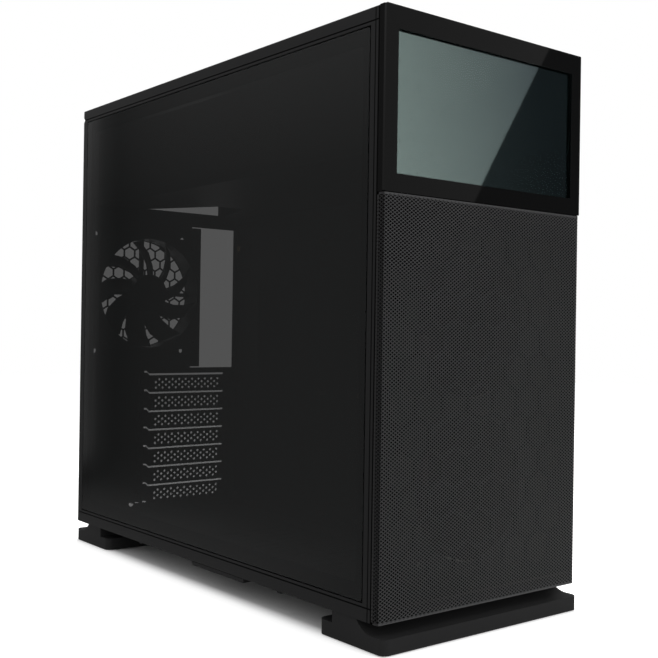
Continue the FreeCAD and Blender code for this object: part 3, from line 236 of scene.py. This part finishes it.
class Shader(Nodes):
    """A material's node tree."""

    def __init__(self, name: str) -> None:
        """Start a material that holds only a Principled BSDF and its output.

        Args:
            name: name of the material.
        """
        self.material = bpy.data.materials.new(name)
        self.material.use_nodes = True
        super().__init__(self.material.node_tree)
        self.surface = next(n for n in self.tree.nodes if n.type == "BSDF_PRINCIPLED")

    def fix(self, **numbers: object) -> None:
        """Set sockets of the Principled BSDF, by name with underscores for spaces."""
        for name, given in numbers.items():
            self.feed(self.surface.inputs[name.replace("_", " ")], given)

    def place(self, scale: Colour = (1.0, 1.0, 1.0), shift: Colour = (0.0, 0.0, 0.0)) -> bpy.types.NodeSocket:
        """Object coordinates through a Mapping node.

        Args:
            scale: factor along each axis.
            shift: offset along each axis, after the scale.

        Returns:
            The vector socket.
        """
        point = self.node("ShaderNodeTexCoord").outputs["Object"]
        inputs = {"Vector": point, "Scale": scale, "Location": shift}
        return self.node("ShaderNodeMapping", None, inputs).outputs[0]

    def parts(self, vector: bpy.types.NodeSocket) -> tuple[Value, Value, Value]:
        """Components of a vector."""
        split = self.node("ShaderNodeSeparateXYZ", None, {"Vector": vector})
        return tuple(Value(self, split.outputs[n]) for n in range(3))

    def noise(self, scale: float, detail: float = 2.0, stretch: Colour = (1.0, 1.0, 1.0)) -> Value:
        """Noise over the piece.

        Args:
            scale: how many features to a metre.
            detail: number of finer layers.
            stretch: factor along each axis.

        Returns:
            Noise between zero and one.
        """
        inputs = {"Vector": self.place(stretch), "Scale": scale, "Detail": detail}
        return Value(self, self.node("ShaderNodeTexNoise", None, inputs).outputs[0])

    def ramp(self, value: Number, stops: Stops) -> Value:
        """Grey ramp of a value.

        Args:
            value: what the ramp is read at.
            stops: position and brightness of each stop.

        Returns:
            The brightness.
        """
        made = self.node("ShaderNodeValToRGB", {"stops": stops}, {"Fac": value})
        return Value(self, made.outputs[0])

    def blend(self, share: Number, low: object, high: object) -> bpy.types.NodeSocket:
        """Colour between two colours.

        Args:
            share: zero for the first, one for the second.
            low: first colour.
            high: second colour.

        Returns:
            The colour socket.
        """
        made = self.node("ShaderNodeMix", {"data_type": "RGBA"}, {0: share, 6: low, 7: high})
        return made.outputs[2]

    def bump(self, height: Value, depth: float, strength: float = 1.0) -> None:
        """Feed the normal from a height.

        Args:
            height: height between zero and one.
            depth: metres that a height of one stands for.
            strength: share of the effect.
        """
        made = self.node("ShaderNodeBump", None, {"Height": height, "Distance": depth, "Strength": strength})
        self.fix(Normal=made.outputs[0])


# Finishes


@dataclass(frozen=True)
class Finish:
    """A plain surface: colour with slight mottling, roughness and a fine grain."""

    name: str
    colour: Colour = (0.02, 0.02, 0.02)
    roughness: float = 0.5
    specular: float = 0.3
    metallic: float = 0.0
    grain: float = 2500.0
    grain_depth: float = 0.00002
    mottle: float = 0.12

    def material(self) -> bpy.types.Material:
        """Build the material.

        Returns:
            The finished material.
        """
        shader = Shader(self.name)
        shader.fix(Metallic=self.metallic, Specular_IOR_Level=self.specular)
        self.dress(shader)
        return shader.material

    def times(self, share: float) -> Colour:
        """The colour, each channel times a share."""
        return tuple(channel * share for channel in self.colour)

    def paint(self, shader: Shader, cloud: Value) -> bpy.types.NodeSocket:
        """Colour between the darkest and the lightest tone of the mottling.

        Args:
            shader: tree to add to.
            cloud: where in the mottling a point lies, zero to one.

        Returns:
            The colour socket.
        """
        return shader.blend(cloud, self.times(1 - self.mottle), self.times(1 + self.mottle))

    def dress(self, shader: Shader) -> None:
        """Mottled colour, uneven gloss and grain.

        Args:
            shader: tree to add to.
        """
        cloud = shader.noise(18.0, 3.0)
        shader.fix(Base_Color=self.paint(shader, cloud))
        grain = shader.noise(self.grain, 2.0)
        shader.fix(Roughness=self.roughness + (cloud - 0.5) * 0.08 + (grain - 0.5) * 0.06)
        shader.bump(grain, self.grain_depth)


@dataclass(frozen=True)
class PowderCoat(Finish):
    """Baked powder paint: close pebbled grain with a soft sheen."""

    roughness: float = 0.42
    grain: float = 1400.0
    grain_depth: float = 0.00004
    seam: float = 0.00055
    seam_colour: Colour = (0.0005, 0.0005, 0.0005)
    seam_levels: tuple[float, ...] = (FLOOR + BAND, TOP - BAND)
    seam_depths: tuple[float, ...] = (FRONT + FRONT_DEPTH + 0.0008, FRONT + FRONT_DEPTH + 0.0042)

    def seams(self, shader: Shader) -> Value:
        """Shadow of the joints between the outer sheets.

        One within half a seam of a level in Z or a depth in Y, on the outer sides alone, where
        |x| is within a millimetre of the half width; zero elsewhere.

        Args:
            shader: tree to add to.

        Returns:
            One on a seam, zero off it.
        """
        x, y, z = shader.parts(shader.place())
        far = (z - self.seam_levels[0]).size()
        for level in self.seam_levels[1:]:
            far = far.least((z - level).size())
        for depth in self.seam_depths:
            far = far.least((y - depth).size())
        return (far < self.seam) * (x.size() > HALF_WIDTH - 0.001)

    def dress(self, shader: Shader) -> None:
        """Pebbles from a smooth Voronoi distance over broad mottling, with the seams' shadow."""
        cloud = shader.noise(14.0, 3.0)
        cells = shader.node(
            "ShaderNodeTexVoronoi", {"feature": "SMOOTH_F1"}, {"Vector": shader.place(), "Scale": self.grain}
        )
        pebble = Value(shader, cells.outputs["Distance"])
        seam = self.seams(shader)
        paint = self.paint(shader, cloud * 0.6 + pebble * 0.4)
        shader.fix(Base_Color=shader.blend(seam, paint, self.seam_colour))
        shader.fix(Roughness=self.roughness + (cloud - 0.5) * 0.1 + (pebble - 0.4) * 0.1 + seam * 0.5)
        shader.bump(1 - pebble, self.grain_depth, 0.25)


@dataclass(frozen=True)
class MeshCoat(Finish):
    """Paint of the fine mesh: lighter on its front, with painted shade darkening its folded sides."""

    grain_depth: float = 0.00001
    # share of the colour on the folded sides: painted shade
    side: float = 0.3

    def dress(self, shader: Shader) -> None:
        """Painted shade: the side's share of the colour where |x| is within a millimetre of the half width.
        """
        x, _, _ = shader.parts(shader.place())
        cloud = shader.noise(14.0, 3.0)
        # painted shade: the mesh is darkened where it folds back along the sides
        painted_shade_side = x.size() > HALF_WIDTH - 0.001
        shader.fix(Base_Color=shader.blend(painted_shade_side, self.paint(shader, cloud), self.times(self.side)))
        grain = shader.noise(self.grain, 2.0)
        shader.fix(Roughness=self.roughness + (cloud - 0.5) * 0.1 + painted_shade_side * 0.1)
        shader.bump(grain, self.grain_depth)


@dataclass(frozen=True)
class Turned(Finish):
    """Turned or drawn metal: fine lines round or along the piece."""

    metallic: float = 1.0
    roughness: float = 0.3
    stretch: Colour = (1.0, 1.0, 30.0)

    def dress(self, shader: Shader) -> None:
        """Lines from noise drawn out along two axes."""
        lines = shader.noise(900.0, 2.0, self.stretch)
        shader.fix(Base_Color=shader.blend(lines, self.times(0.8), self.colour))
        shader.fix(Roughness=self.roughness + (lines - 0.5) * 0.2)
        shader.bump(lines, 0.00002, 0.5)


@dataclass(frozen=True)
class Net(Finish):
    """Fine woven net; the gaps between its threads are painted near-black, painted shade where the net would
    be open.
    """

    pitch: float = 0.0016
    thread: float = 0.45

    def dress(self, shader: Shader) -> None:
        """Threads where either coordinate is near a whole number of pitches."""
        x, y, _ = shader.parts(shader.place((1 / self.pitch, 1 / self.pitch, 1.0)))
        across = (x.maths("FRACT", x) - 0.5).size()
        along = (y.maths("FRACT", y) - 0.5).size()
        thread = across.most(along) > (1 - self.thread) / 2 + 0.2
        # painted shade: the gaps between threads get a near-black colour instead of being open
        shader.fix(Base_Color=shader.blend(thread, (0.004, 0.004, 0.004), self.colour))
        shader.fix(Roughness=0.6 + thread * 0.1)
        shader.bump(across.most(along), 0.0002)


@dataclass(frozen=True)
class SmokedGlass(Finish):
    """Dark tempered glass: mostly black, clean gloss, a share of straight light."""

    colour: Colour = (0.0014, 0.0018, 0.0018)
    opacity: float = 0.735
    index: float = 1.2

    def dress(self, shader: Shader) -> None:
        """Gloss with a very faint smear, and constant opacity at each face."""
        smear = shader.noise(9.0, 4.0)
        shader.fix(Base_Color=shader.blend(smear, self.colour, self.times(1.3)))
        shader.fix(Roughness=0.015 + shader.ramp(smear, [(0.45, 0.0), (0.8, 1.0)]) * 0.03)
        shader.fix(Alpha=self.opacity, IOR=self.index, Specular_IOR_Level=0.5)


@dataclass(frozen=True)
class PrintedGlass(Finish):
    """Front glass: clear tint inside a black border printed on its back."""

    colour: Colour = (0.0035, 0.0035, 0.0035)
    tint: Colour = (0.004, 0.007, 0.007)
    opacity: float = 0.15
    index: float = 1.2
    side: float = HALF_WIDTH - BORDER_SIDE
    low: float = SPLIT + BORDER_LOW
    high: float = TOP - BORDER_TOP

    def dress(self, shader: Shader) -> None:
        """One inside the clear rectangle, zero on the border, with a soft printed edge."""
        x, _, z = shader.parts(shader.place())
        inside = (x + self.side).least(self.side - x).least(z - self.low).least(self.high - z)
        clear = shader.ramp(inside * 2000.0 + 0.5, [(0.0, 0.0), (1.0, 1.0)])
        shader.fix(Base_Color=shader.blend(clear, self.colour, self.tint))
        shader.fix(Roughness=0.02 + shader.noise(7.0, 3.0) * 0.01)
        shader.fix(Alpha=1.0 - clear * (1.0 - self.opacity), IOR=self.index)


@dataclass(frozen=True)
class LightGuide(Finish):
    """Half mirrored light guide with small dots printed in it, under a painted reflection: its mirror is
    lighter at the left and greyer towards the upper right.
    """

    # mirror colours of the painted reflection: lighter at the left, darker at the right
    near: Colour = (0.285, 0.37, 0.347)
    far: Colour = (0.088, 0.117, 0.123)
    back: Colour = (0.006, 0.006, 0.0062)
    middle: float = FRONT + GLASS_THICKNESS + FILM_GAP + FILM_THICKNESS / 2
    rise: float = 0.3
    dot: float = 0.66
    pitch: float = 0.0036
    dot_size: float = 0.26

    def dress(self, shader: Shader) -> None:
        """A dot at the random point of each Voronoi cell, smaller or missing by its own noise.

        The ground is a painted reflection gradient: it runs from the near colour at the left to the far one
        at the right, by (x + rise z' + half width) / width with z' the height above the seam, under faint
        clouds.
        Only what lies in front of the film's middle is mirrored; the back is plain dark.
        """
        cells = shader.node(
            "ShaderNodeTexVoronoi", {"feature": "F1"},
            {"Vector": shader.place((1.0, 0.0, 1.0)), "Scale": 1 / self.pitch, "Randomness": 0.8},
        )
        distance = Value(shader, cells.outputs["Distance"])
        pick = shader.parts(cells.outputs["Color"])[0]
        dot = distance < pick * self.dot_size
        x, y, z = shader.parts(shader.place())
        front = y < self.middle
        cloud = (shader.noise(30.0, 3.0) - 0.5) * 0.1
        # painted reflection: the mirror's colour falls from the left towards the upper right
        share = (x + HALF_WIDTH + (z - SPLIT) * self.rise) / (2 * HALF_WIDTH) + cloud
        ground = shader.blend(shader.ramp(share, [(0.08, 0.0), (0.9, 1.0)]), self.near, self.far)
        bright = 1 - dot * (1 - self.dot)
        inputs = {"Vector": ground, "Scale": bright}
        scaled = shader.node("ShaderNodeVectorMath", {"operation": "SCALE"}, inputs)
        mirror = shader.blend(front, self.back, scaled.outputs[0])
        shader.fix(Base_Color=mirror, Metallic=front, Specular_IOR_Level=0.1)
        shader.fix(Roughness=0.5 - front * 0.48 + dot * 0.02)


@dataclass(frozen=True)
class MouldedPlastic(Finish):
    """Moulded plastic with painted shade above the floor gap: its colour is darker behind the mesh."""

    # share of the colour kept above the floor gap: painted shade behind the mesh
    shade: float = 0.2

    def paint(self, shader: Shader, cloud: Value) -> bpy.types.NodeSocket:
        """Mottled colour, with painted shade above the case's floor: the shade's share of it there.

        Args:
            shader: tree to add to.
            cloud: where in the mottling a point lies, zero to one.

        Returns:
            The colour socket.
        """
        _, _, z = shader.parts(shader.place())
        # painted shade: the plastic above the case's floor is darkened, standing in for the shade behind the
        # mesh
        inside = z > FLOOR + 0.0004
        return shader.blend(inside, super().paint(shader, cloud), self.times(self.shade))


class Slot(Enum):
    """Material slots of the record, each with its finish."""

    CHASSIS = PowderCoat("chassis_steel", (0.0065, 0.0065, 0.0067), 0.5, 0.05)
    COVER = PowderCoat("cover_steel", (0.0105, 0.0105, 0.0108), 0.42, 0.04, grain=2000.0, grain_depth=0.00002)
    PLASTIC = MouldedPlastic("black_plastic", (0.019, 0.019, 0.0193), 0.6, 0.02, grain=1800.0)
    FAN = Finish("fan_plastic", (0.04, 0.04, 0.041), 0.38, 0.2, grain=3000.0, grain_depth=0.00001)
    BUTTON = Finish("button_plastic", (0.014, 0.014, 0.015), 0.35, 0.3, grain=3000.0)
    JACK = Finish("jack_plastic", (0.008, 0.008, 0.009), 0.2, 0.5, grain=3000.0, grain_depth=0.000005)
    NYLON = Finish("black_nylon", (0.012, 0.012, 0.012), 0.4, 0.25)
    # side=0.28 sets the painted shade on the mesh's folded sides
    MESH = MeshCoat("mesh_steel", (0.042, 0.042, 0.043), 0.42, 0.12, grain=3000.0, side=0.28)
    RUBBER = Finish("black_rubber", (0.01, 0.01, 0.01), 0.75, 0.2, grain=900.0, grain_depth=0.00005)
    BRASS = Turned("brass", (0.3, 0.22, 0.1), 0.4)
    SMOKED = SmokedGlass("smoked_glass")
    WINDOW = PrintedGlass("window_glass")
    SCREEN = LightGuide("screen_acrylic")
    STRIP = Finish("light_strip", (0.25, 0.27, 0.27), 0.3, 0.5, grain=700.0)
    SCREW = Turned("black_screw", (0.03, 0.03, 0.031), 0.35, metallic=0.6)
    PORT = Turned("port_steel", (0.5, 0.5, 0.5), 0.3)
    FILTER = Net("filter_net", (0.012, 0.012, 0.012), 0.6)


FINISHES: dict[str, bpy.types.Material] = {}


def finish(slot: str) -> bpy.types.Material:
    """Material of a record slot, made once.

    Args:
        slot: name of the slot.

    Returns:
        The material.
    """
    if slot not in FINISHES:
        FINISHES[slot] = next(s.value for s in Slot if s.value.name == slot).material()
    return FINISHES[slot]


# Meshes


@dataclass
class Surface:
    """Vertices and quads gathered as arrays and then made into one mesh object."""

    points: list[np.ndarray] = field(default_factory=list)
    faces: list[np.ndarray] = field(default_factory=list)
    count: int = 0

    def add(self, points: np.ndarray, faces: np.ndarray) -> None:
        """Add a block of points and the quads between them.

        Args:
            points: n by 3 coordinates.
            faces: m by 4 indices into this block.
        """
        self.points.append(points.reshape(-1, 3))
        self.faces.append(faces.reshape(-1, 4) + self.count)
        self.count += len(self.points[-1])

    def tubes(self, paths: np.ndarray, offsets: np.ndarray) -> None:
        """Closed four sided bars along paths.

        The ring of corners at each station is the path point plus four offsets; quads join ring
        k to ring k + 1, and one quad closes each end.

        Args:
            paths: bars by stations by 3.
            offsets: bars by stations by 4 by 3, corners in order round the bar.
        """
        bars, stations = paths.shape[:2]
        rings = paths[:, :, None, :] + offsets
        index = np.arange(bars * stations * 4).reshape(bars, stations, 4)
        turned = np.roll(index, -1, axis=2)
        sides = np.stack([index[:, :-1], turned[:, :-1], turned[:, 1:], index[:, 1:]], axis=-1)
        ends = np.stack([index[:, 0, ::-1], index[:, -1]], axis=1)
        self.add(rings, np.concatenate([sides.reshape(-1, 4), ends.reshape(-1, 4)]))

    def piece(self, name: str, body: str, slot: str, smooth: bool = False) -> bpy.types.Object:
        """Make the object, give it its finish and let it ride.

        Args:
            name: name of the piece.
            body: body of the model that carries it.
            slot: material slot of the record.
            smooth: shade smooth.

        Returns:
            The new object.
        """
        points = np.concatenate(self.points)
        faces = np.concatenate(self.faces)
        mesh = bpy.data.meshes.new(name)
        mesh.from_pydata(points.tolist(), [], faces.tolist())
        mesh.polygons.foreach_set("use_smooth", np.full(len(faces), smooth))
        mesh.update()
        made = bpy.data.objects.new(name, mesh)
        bpy.context.scene.collection.objects.link(made)
        made.data.materials.append(finish(slot))
        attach(made, body)
        log.info("%s: %d quads", name, len(faces))
        return made


# Sub-assemblies


@dataclass
class MeshFront:
    """Fine lattice of the lower front: two families of slanting wires, folded round both corners."""

    across: float = 0.004
    up: float = 0.0026
    wire: float = 0.00045
    thickness: float = 0.0006
    corner: float = 0.0025
    rim: float = 0.0016
    low: float = FLOOR
    high: float = SPLIT - 0.0005

    @property
    def flat(self) -> float:
        """Half width of the flat of the sheet."""
        return HALF_WIDTH - self.corner

    @property
    def reach(self) -> float:
        """Half length of the sheet's profile, unrolled."""
        return self.flat + self.corner * math.pi / 2 + FRONT_DEPTH - self.corner

    def fold(self, along: np.ndarray, height: np.ndarray, depth: float) -> np.ndarray:
        """Points of the folded sheet.

        Up to the flat's end the sheet runs along X; then it follows a quarter circle, then runs
        back along Y. The depth moves the point inwards along the local normal.

        Args:
            along: distance from the middle, unrolled, with its sign.
            height: Z of each point.
            depth: distance behind the outer face.

        Returns:
            Array of points, last axis XYZ.
        """
        sign, run = np.sign(along), np.abs(along)
        turn = np.clip((run - self.flat) / self.corner, 0, math.pi / 2)
        back = np.clip(run - self.flat - self.corner * math.pi / 2, 0, None)
        radius = self.corner - depth
        x = np.minimum(run, self.flat) + radius * np.sin(turn)
        y = FRONT + self.corner - radius * np.cos(turn) + back
        return np.stack([sign * x, y, height + 0 * x], axis=-1)

    def stations(self) -> np.ndarray:
        """Unrolled distances at which a wire gets a corner: the flat's ends and round the fold."""
        arc = self.flat + self.corner * np.linspace(0, math.pi / 2, 4)
        half = np.concatenate([arc, [self.reach]])
        return np.concatenate([-half[::-1], half])

    def wires(self, surface: Surface, lean: int, depth: float) -> None:
        """One family of wires, each clipped to the sheet's rectangle.

        Along a wire z = z0 + lean * slope * u. Every wire has the same number of stations: the
        shared ones clipped to the span of u in which z stays inside the sheet.

        Args:
            surface: where the bars go.
            lean: 1 or -1 for the direction of the slope.
            depth: distance of the wires' middle behind the outer face.
        """
        slope = self.up / self.across
        span = self.reach * slope
        starts = np.arange(self.low - span, self.high + span, self.up)
        ends_a = (self.low + self.rim / 2 - starts) / (lean * slope)
        ends_b = (self.high - self.rim / 2 - starts) / (lean * slope)
        first = np.maximum(np.minimum(ends_a, ends_b), -self.reach)
        last = np.minimum(np.maximum(ends_a, ends_b), self.reach)
        keep = last - first > self.across
        first, last, starts = first[keep], last[keep], starts[keep]
        along = np.clip(self.stations()[None, :], first[:, None], last[:, None])
        spread = (last - first)[:, None] * np.linspace(0, 1e-4, along.shape[1])[None, :]
        along = np.sort(along + spread - spread[:, -1:] / 2, axis=1)
        height = starts[:, None] + lean * slope * along
        reach_z = self.wire / 2 * math.hypot(1, slope)
        middle = self.fold(along, height, depth)
        corners = []
        for shift, level in ((-1, -1), (1, -1), (1, 1), (-1, 1)):
            point = self.fold(along, height + shift * reach_z, depth - level * self.thickness / 2)
            corners.append(point - middle)
        surface.tubes(middle, np.stack(corners, axis=2))

    def rims(self, surface: Surface) -> None:
        """Solid strips along the sheet's four edges."""
        stations = self.stations()
        for z in (self.low + self.rim / 2, self.high - self.rim / 2):
            height = np.full_like(stations, z)
            self.strip(surface, stations, height, np.array([0.0, self.rim / 2]))
        for side in (-1, 1):
            height = np.linspace(self.low, self.high, 2)
            along = np.full_like(height, side * (self.reach - self.rim / 2))
            self.strip(surface, along, height, np.array([self.rim / 2, 0.0]))

    def strip(self, surface: Surface, along: np.ndarray, height: np.ndarray, half: np.ndarray) -> None:
        """Flat bar on the sheet.

        Args:
            surface: where the bar goes.
            along: unrolled distance of each station.
            height: Z of each station.
            half: half width along the sheet and upwards.
        """
        thick = self.thickness * 1.3
        middle = self.fold(along, height, thick / 2)
        corners = []
        for shift, depth in ((-1, thick), (1, thick), (1, 0.0), (-1, 0.0)):
            point = self.fold(along + shift * half[0], height + shift * half[1], depth)
            corners.append(point - middle)
        surface.tubes(middle[None], np.stack(corners, axis=1)[None])

    def build(self) -> None:
        """Make the lattice, which stands for the plain perforated sheet."""
        surface = Surface()
        self.wires(surface, 1, self.thickness * 0.5)
        self.wires(surface, -1, self.thickness * 0.6)
        self.rims(surface)
        made = surface.piece("mesh_lattice", "front_panel", "mesh_steel")
        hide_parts("front_mesh")


@dataclass
class ScreenFilm:
    """Half mirrored film right behind the front glass, over the space of the light guide."""

    clearance: float = 0.0001
    side: float = HALF_WIDTH - BORDER_SIDE
    low: float = SPLIT + BORDER_LOW
    high: float = TOP - BORDER_TOP
    bow: float = 0.00002
    columns: int = 24
    rows: int = 16

    def build(self) -> None:
        """Make the film as one grid of quads, closed by a thin wall.

        y(u, v) = back of the glass + gap + bow * (1 - u * u) * (1 - v * v), with u and v from -1
        to 1 over the film.
        """
        u, v = np.meshgrid(np.linspace(-1, 1, self.columns), np.linspace(-1, 1, self.rows))
        x = u * (self.side - self.clearance)
        z = (self.low + self.high) / 2 + v * ((self.high - self.low) / 2 - self.clearance)
        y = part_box("window_glass")[1][1] + FILM_GAP + self.bow * (1 - u * u) * (1 - v * v)
        index = np.arange(u.size).reshape(u.shape)
        quads = np.stack([index[:-1, :-1], index[:-1, 1:], index[1:, 1:], index[1:, :-1]], axis=-1)
        surface = Surface()
        surface.add(np.stack([x, y, z], axis=-1), quads)
        made = surface.piece("screen_film", "front_panel", "screen_acrylic")
        wall = made.modifiers.new("wall", "SOLIDIFY")
        wall.thickness = FILM_THICKNESS
        wall.offset = -1.0


@dataclass
class Frame:
    """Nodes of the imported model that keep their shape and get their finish."""

    def build(self) -> None:
        """Give every node the finish of its slot."""
        for row in frame["record"]["subparts"]:
            node = frame["nodes"][row["node"]]
            material = finish(row["material_slot"])
            if node.material_slots:
                for place in node.material_slots:
                    place.material = material
            else:
                node.data.materials.append(material)
        log.info("frame: %d nodes dressed", len(frame["nodes"]))


@dataclass
class Studio:
    """White floor and surround, soft lamps, a dark card, a grey sweep and the camera."""

    eye: Colour = (-0.57378, -0.76889, 0.22317)
    yaw: float = 38.57
    pitch: float = 0.15
    roll: float = 0.87
    lens: float = 56.0
    surround: float = 0.75
    floor_radius: float = 4.0
    floor_glow: float = 0.75
    far_glow: float = 0.45
    # edge widths of the painted shadow, inside and outside the footprint
    shade_inside: float = 0.012
    shade_outside: float = 0.02
    fade: tuple[float, float] = (0.06, 0.7)
    sweep_glow: float = 1.6
    sweep_along: Stops = ((0.0, 1.0), (0.3, 0.58), (0.64, 0.2), (0.69, 0.27), (0.76, 0.75))
    sweep_above: Stops = ((0.4, 0.6), (0.56, 1.0))
    sweep_ends: tuple[float, float] = (-0.6, 1.6)
    sweep_side: float = -0.35
    sweep_foot: float = -0.125
    sweep_corner: float = 0.05
    sweep_height: float = 0.75
    sweep_lift: float = 0.002
    card_depth: float = -1.3
    card_glow: float = 0.12
    card_foot: float = 0.768
    card_slant: float = 0.643
    card_height: float = 2.2
    card_right: float = 4.0

    def build(self) -> None:
        """Make everything that isn't part of the object."""
        self.world()
        self.floor()
        self.lamp("key", (0.9, 0.7, 1.5), 1.2, 16.0)
        self.lamp("fill", (-1.1, -1.3, 1.2), 1.4, 5.0)
        self.lamp("front", (1.0, -1.6, 0.9), 1.2, 14.0)
        self.card()
        self.sweep()
        self.camera()
        bpy.context.scene.view_settings.view_transform = "Standard"

    def world(self) -> None:
        """White where it is seen, mirrored or seen through glass, and a plain level of light elsewhere."""
        world = bpy.data.worlds.new("surround")
        bpy.context.scene.world = world
        world.use_nodes = True
        nodes = Nodes(world.node_tree)
        inputs = {"Value": nodes.seen(), "To Min": self.surround, "To Max": 1.0}
        level = nodes.node("ShaderNodeMapRange", None, inputs)
        ground = next(n for n in nodes.tree.nodes if n.type == "BACKGROUND")
        nodes.feed(ground.inputs["Color"], (1.0, 1.0, 1.0))
        nodes.feed(ground.inputs["Strength"], level.outputs[0])

    def floor(self) -> None:
        """Round pale floor with a painted shadow under the case, white in the open.

        The glow follows the distance outside the case's footprint: the larger of |x| - half
        width and |y| - half length, from none just inside the edge to all of it just outside,
        and then slowly down to the level that matches the surround. Leaving the glow out under
        the case paints its shadow, on top of the real shadow that the lamps and surround cast.
        """
        shader = Shader("pale_floor")
        shader.fix(Base_Color=(0.8, 0.8, 0.8), Roughness=0.9, Specular_IOR_Level=0.0)
        x, y, _ = shader.parts(shader.place())
        # painted shadow: the glow is taken away inside the case's footprint
        out = (x.size() - CAD_BOX[1][0]).most(y.size() - CAD_BOX[1][1])
        share = (out + self.shade_inside) / (self.shade_inside + self.shade_outside)
        glow_outside_painted_shadow = shader.ramp(share, [(0.0, 0.0), (0.5, 0.75), (1.0, 1.0)])
        near, far = self.fade
        faded = shader.ramp(out, [(near, 1.0), (far, self.far_glow / self.floor_glow)])
        shader.fix(Emission_Color=shader.blend(glow_outside_painted_shadow * faded, (0.0, 0.0, 0.0), (1.0, 1.0, 1.0)))
        shader.fix(Emission_Strength=shader.seen() * self.floor_glow)
        turn = np.linspace(0, 2 * math.pi, 97)[:-1]
        rim = self.floor_radius * np.stack([np.cos(turn), np.sin(turn), 0 * turn], axis=-1)
        self.backdrop("floor", rim, np.arange(len(rim))[None], shader.material)

    @staticmethod
    def backdrop(
        name: str, points: np.ndarray, faces: np.ndarray, material: bpy.types.Material
    ) -> bpy.types.Object:
        """Stage piece from its points and faces.

        Args:
            name: name of the piece.
            points: corners, n by 3.
            faces: indices of each face's corners in order, one row a face.
            material: its material.

        Returns:
            The new object.
        """
        mesh = bpy.data.meshes.new(name)
        mesh.from_pydata(points.tolist(), [], faces.tolist())
        mesh.materials.append(material)
        made = bpy.data.objects.new(name, mesh)
        bpy.context.scene.collection.objects.link(made)
        return made

    def card(self) -> None:
        """Dark upright card with a slanting edge, which only gloss sees.

        It stands in front and to the right, so that the front glass mirrors its edge as a
        diagonal between a light and a dark part.
        """
        shader = Shader("dark_card")
        shader.fix(Base_Color=(0.004, 0.004, 0.004), Roughness=1.0, Specular_IOR_Level=0.0)
        shader.fix(Emission_Color=(0.85, 0.93, 1.0), Emission_Strength=self.card_glow)
        rim = np.array([
            (self.card_foot, self.card_depth, 0.0),
            (self.card_right, self.card_depth, 0.0),
            (self.card_right, self.card_depth, self.card_height),
            (self.card_foot + self.card_height * self.card_slant, self.card_depth, self.card_height),
        ])
        self.gloss_only(self.backdrop("dark_card", rim, np.arange(len(rim))[None], shader.material))

    def sweep(self) -> None:
        """Upright grey sweep beside the glass side, which only gloss sees.

        Its profile runs out along the floor, round a quarter circle and up. Its brightness
        falls from front to rear, so that the side glass mirrors a soft gradient.
        """
        shader = Shader("grey_sweep")
        shader.fix(Base_Color=(0.004, 0.004, 0.004), Roughness=1.0, Specular_IOR_Level=0.0)
        _, y, z = shader.parts(shader.place())
        along = shader.ramp(y, self.sweep_along)
        above = shader.ramp(z, self.sweep_above)
        shader.fix(Emission_Color=shader.blend(along * above, (0.0, 0.0, 0.0), (1.0, 1.0, 1.0)))
        shader.fix(Emission_Strength=self.sweep_glow)
        turn = np.linspace(0, math.pi / 2, 9)
        centre = self.sweep_side + self.sweep_corner
        x = np.concatenate([[self.sweep_foot], centre - self.sweep_corner * np.sin(turn), [self.sweep_side]])
        z = np.concatenate([[0.0], self.sweep_corner * (1 - np.cos(turn)), [self.sweep_height]])
        z += self.sweep_lift
        across, y = np.broadcast_arrays(x[:, None], np.array(self.sweep_ends))
        points = np.stack([across, y, np.broadcast_to(z[:, None], y.shape)], axis=-1).reshape(-1, 3)
        index = np.arange(len(points)).reshape(-1, 2)
        quads = np.concatenate([index[:-1], index[1:, ::-1]], axis=1)
        self.gloss_only(self.backdrop("grey_sweep", points, quads, shader.material))

    @staticmethod
    def gloss_only(made: bpy.types.Object) -> None:
        """Hide a stage piece from every ray but glossy ones."""
        for ray in ("camera", "diffuse", "transmission", "volume_scatter", "shadow"):
            setattr(made, "visible_" + ray, False)

    def lamp(self, name: str, place: Colour, size: float, power: float) -> None:
        """Soft square lamp aimed at the middle of the case.

        Args:
            name: name of the lamp.
            place: position.
            size: side of the square.
            power: watts.
        """
        data = bpy.data.lights.new(name, "AREA")
        data.size = size
        data.energy = power
        made = bpy.data.objects.new(name, data)
        made.location = place
        aim = Vector((0.0, 0.0, 0.22)) - Vector(place)
        made.rotation_euler = aim.to_track_quat("-Z", "Y").to_euler()
        made.visible_glossy = False
        bpy.context.scene.collection.objects.link(made)

    def camera(self) -> None:
        """Camera at the viewing angle of the photograph."""
        yaw, pitch, roll = (math.radians(a) for a in (self.yaw, self.pitch, self.roll))
        ahead = Vector((math.sin(yaw) * math.cos(pitch), math.cos(yaw) * math.cos(pitch), math.sin(pitch)))
        right = Vector((math.cos(yaw), -math.sin(yaw), 0.0))
        up = right.cross(ahead)
        side = right * math.cos(roll) + up * math.sin(roll)
        lift = up * math.cos(roll) - right * math.sin(roll)
        data = bpy.data.cameras.new("camera")
        data.lens = self.lens
        data.sensor_width = 36.0
        made = bpy.data.objects.new("camera", data)
        turn = Matrix((side, lift, -ahead)).transposed()
        made.matrix_world = Matrix.Translation(self.eye) @ turn.to_4x4()
        bpy.context.scene.collection.objects.link(made)
        bpy.context.scene.camera = made


def main() -> None:
    """Build every sub-assembly in order."""
    logging.basicConfig(level=logging.INFO, format="%(name)s: %(message)s")
    for part in (Frame(), MeshFront(), ScreenFilm(), Studio()):
        part.build()


if __name__ == "__main__":
    main()
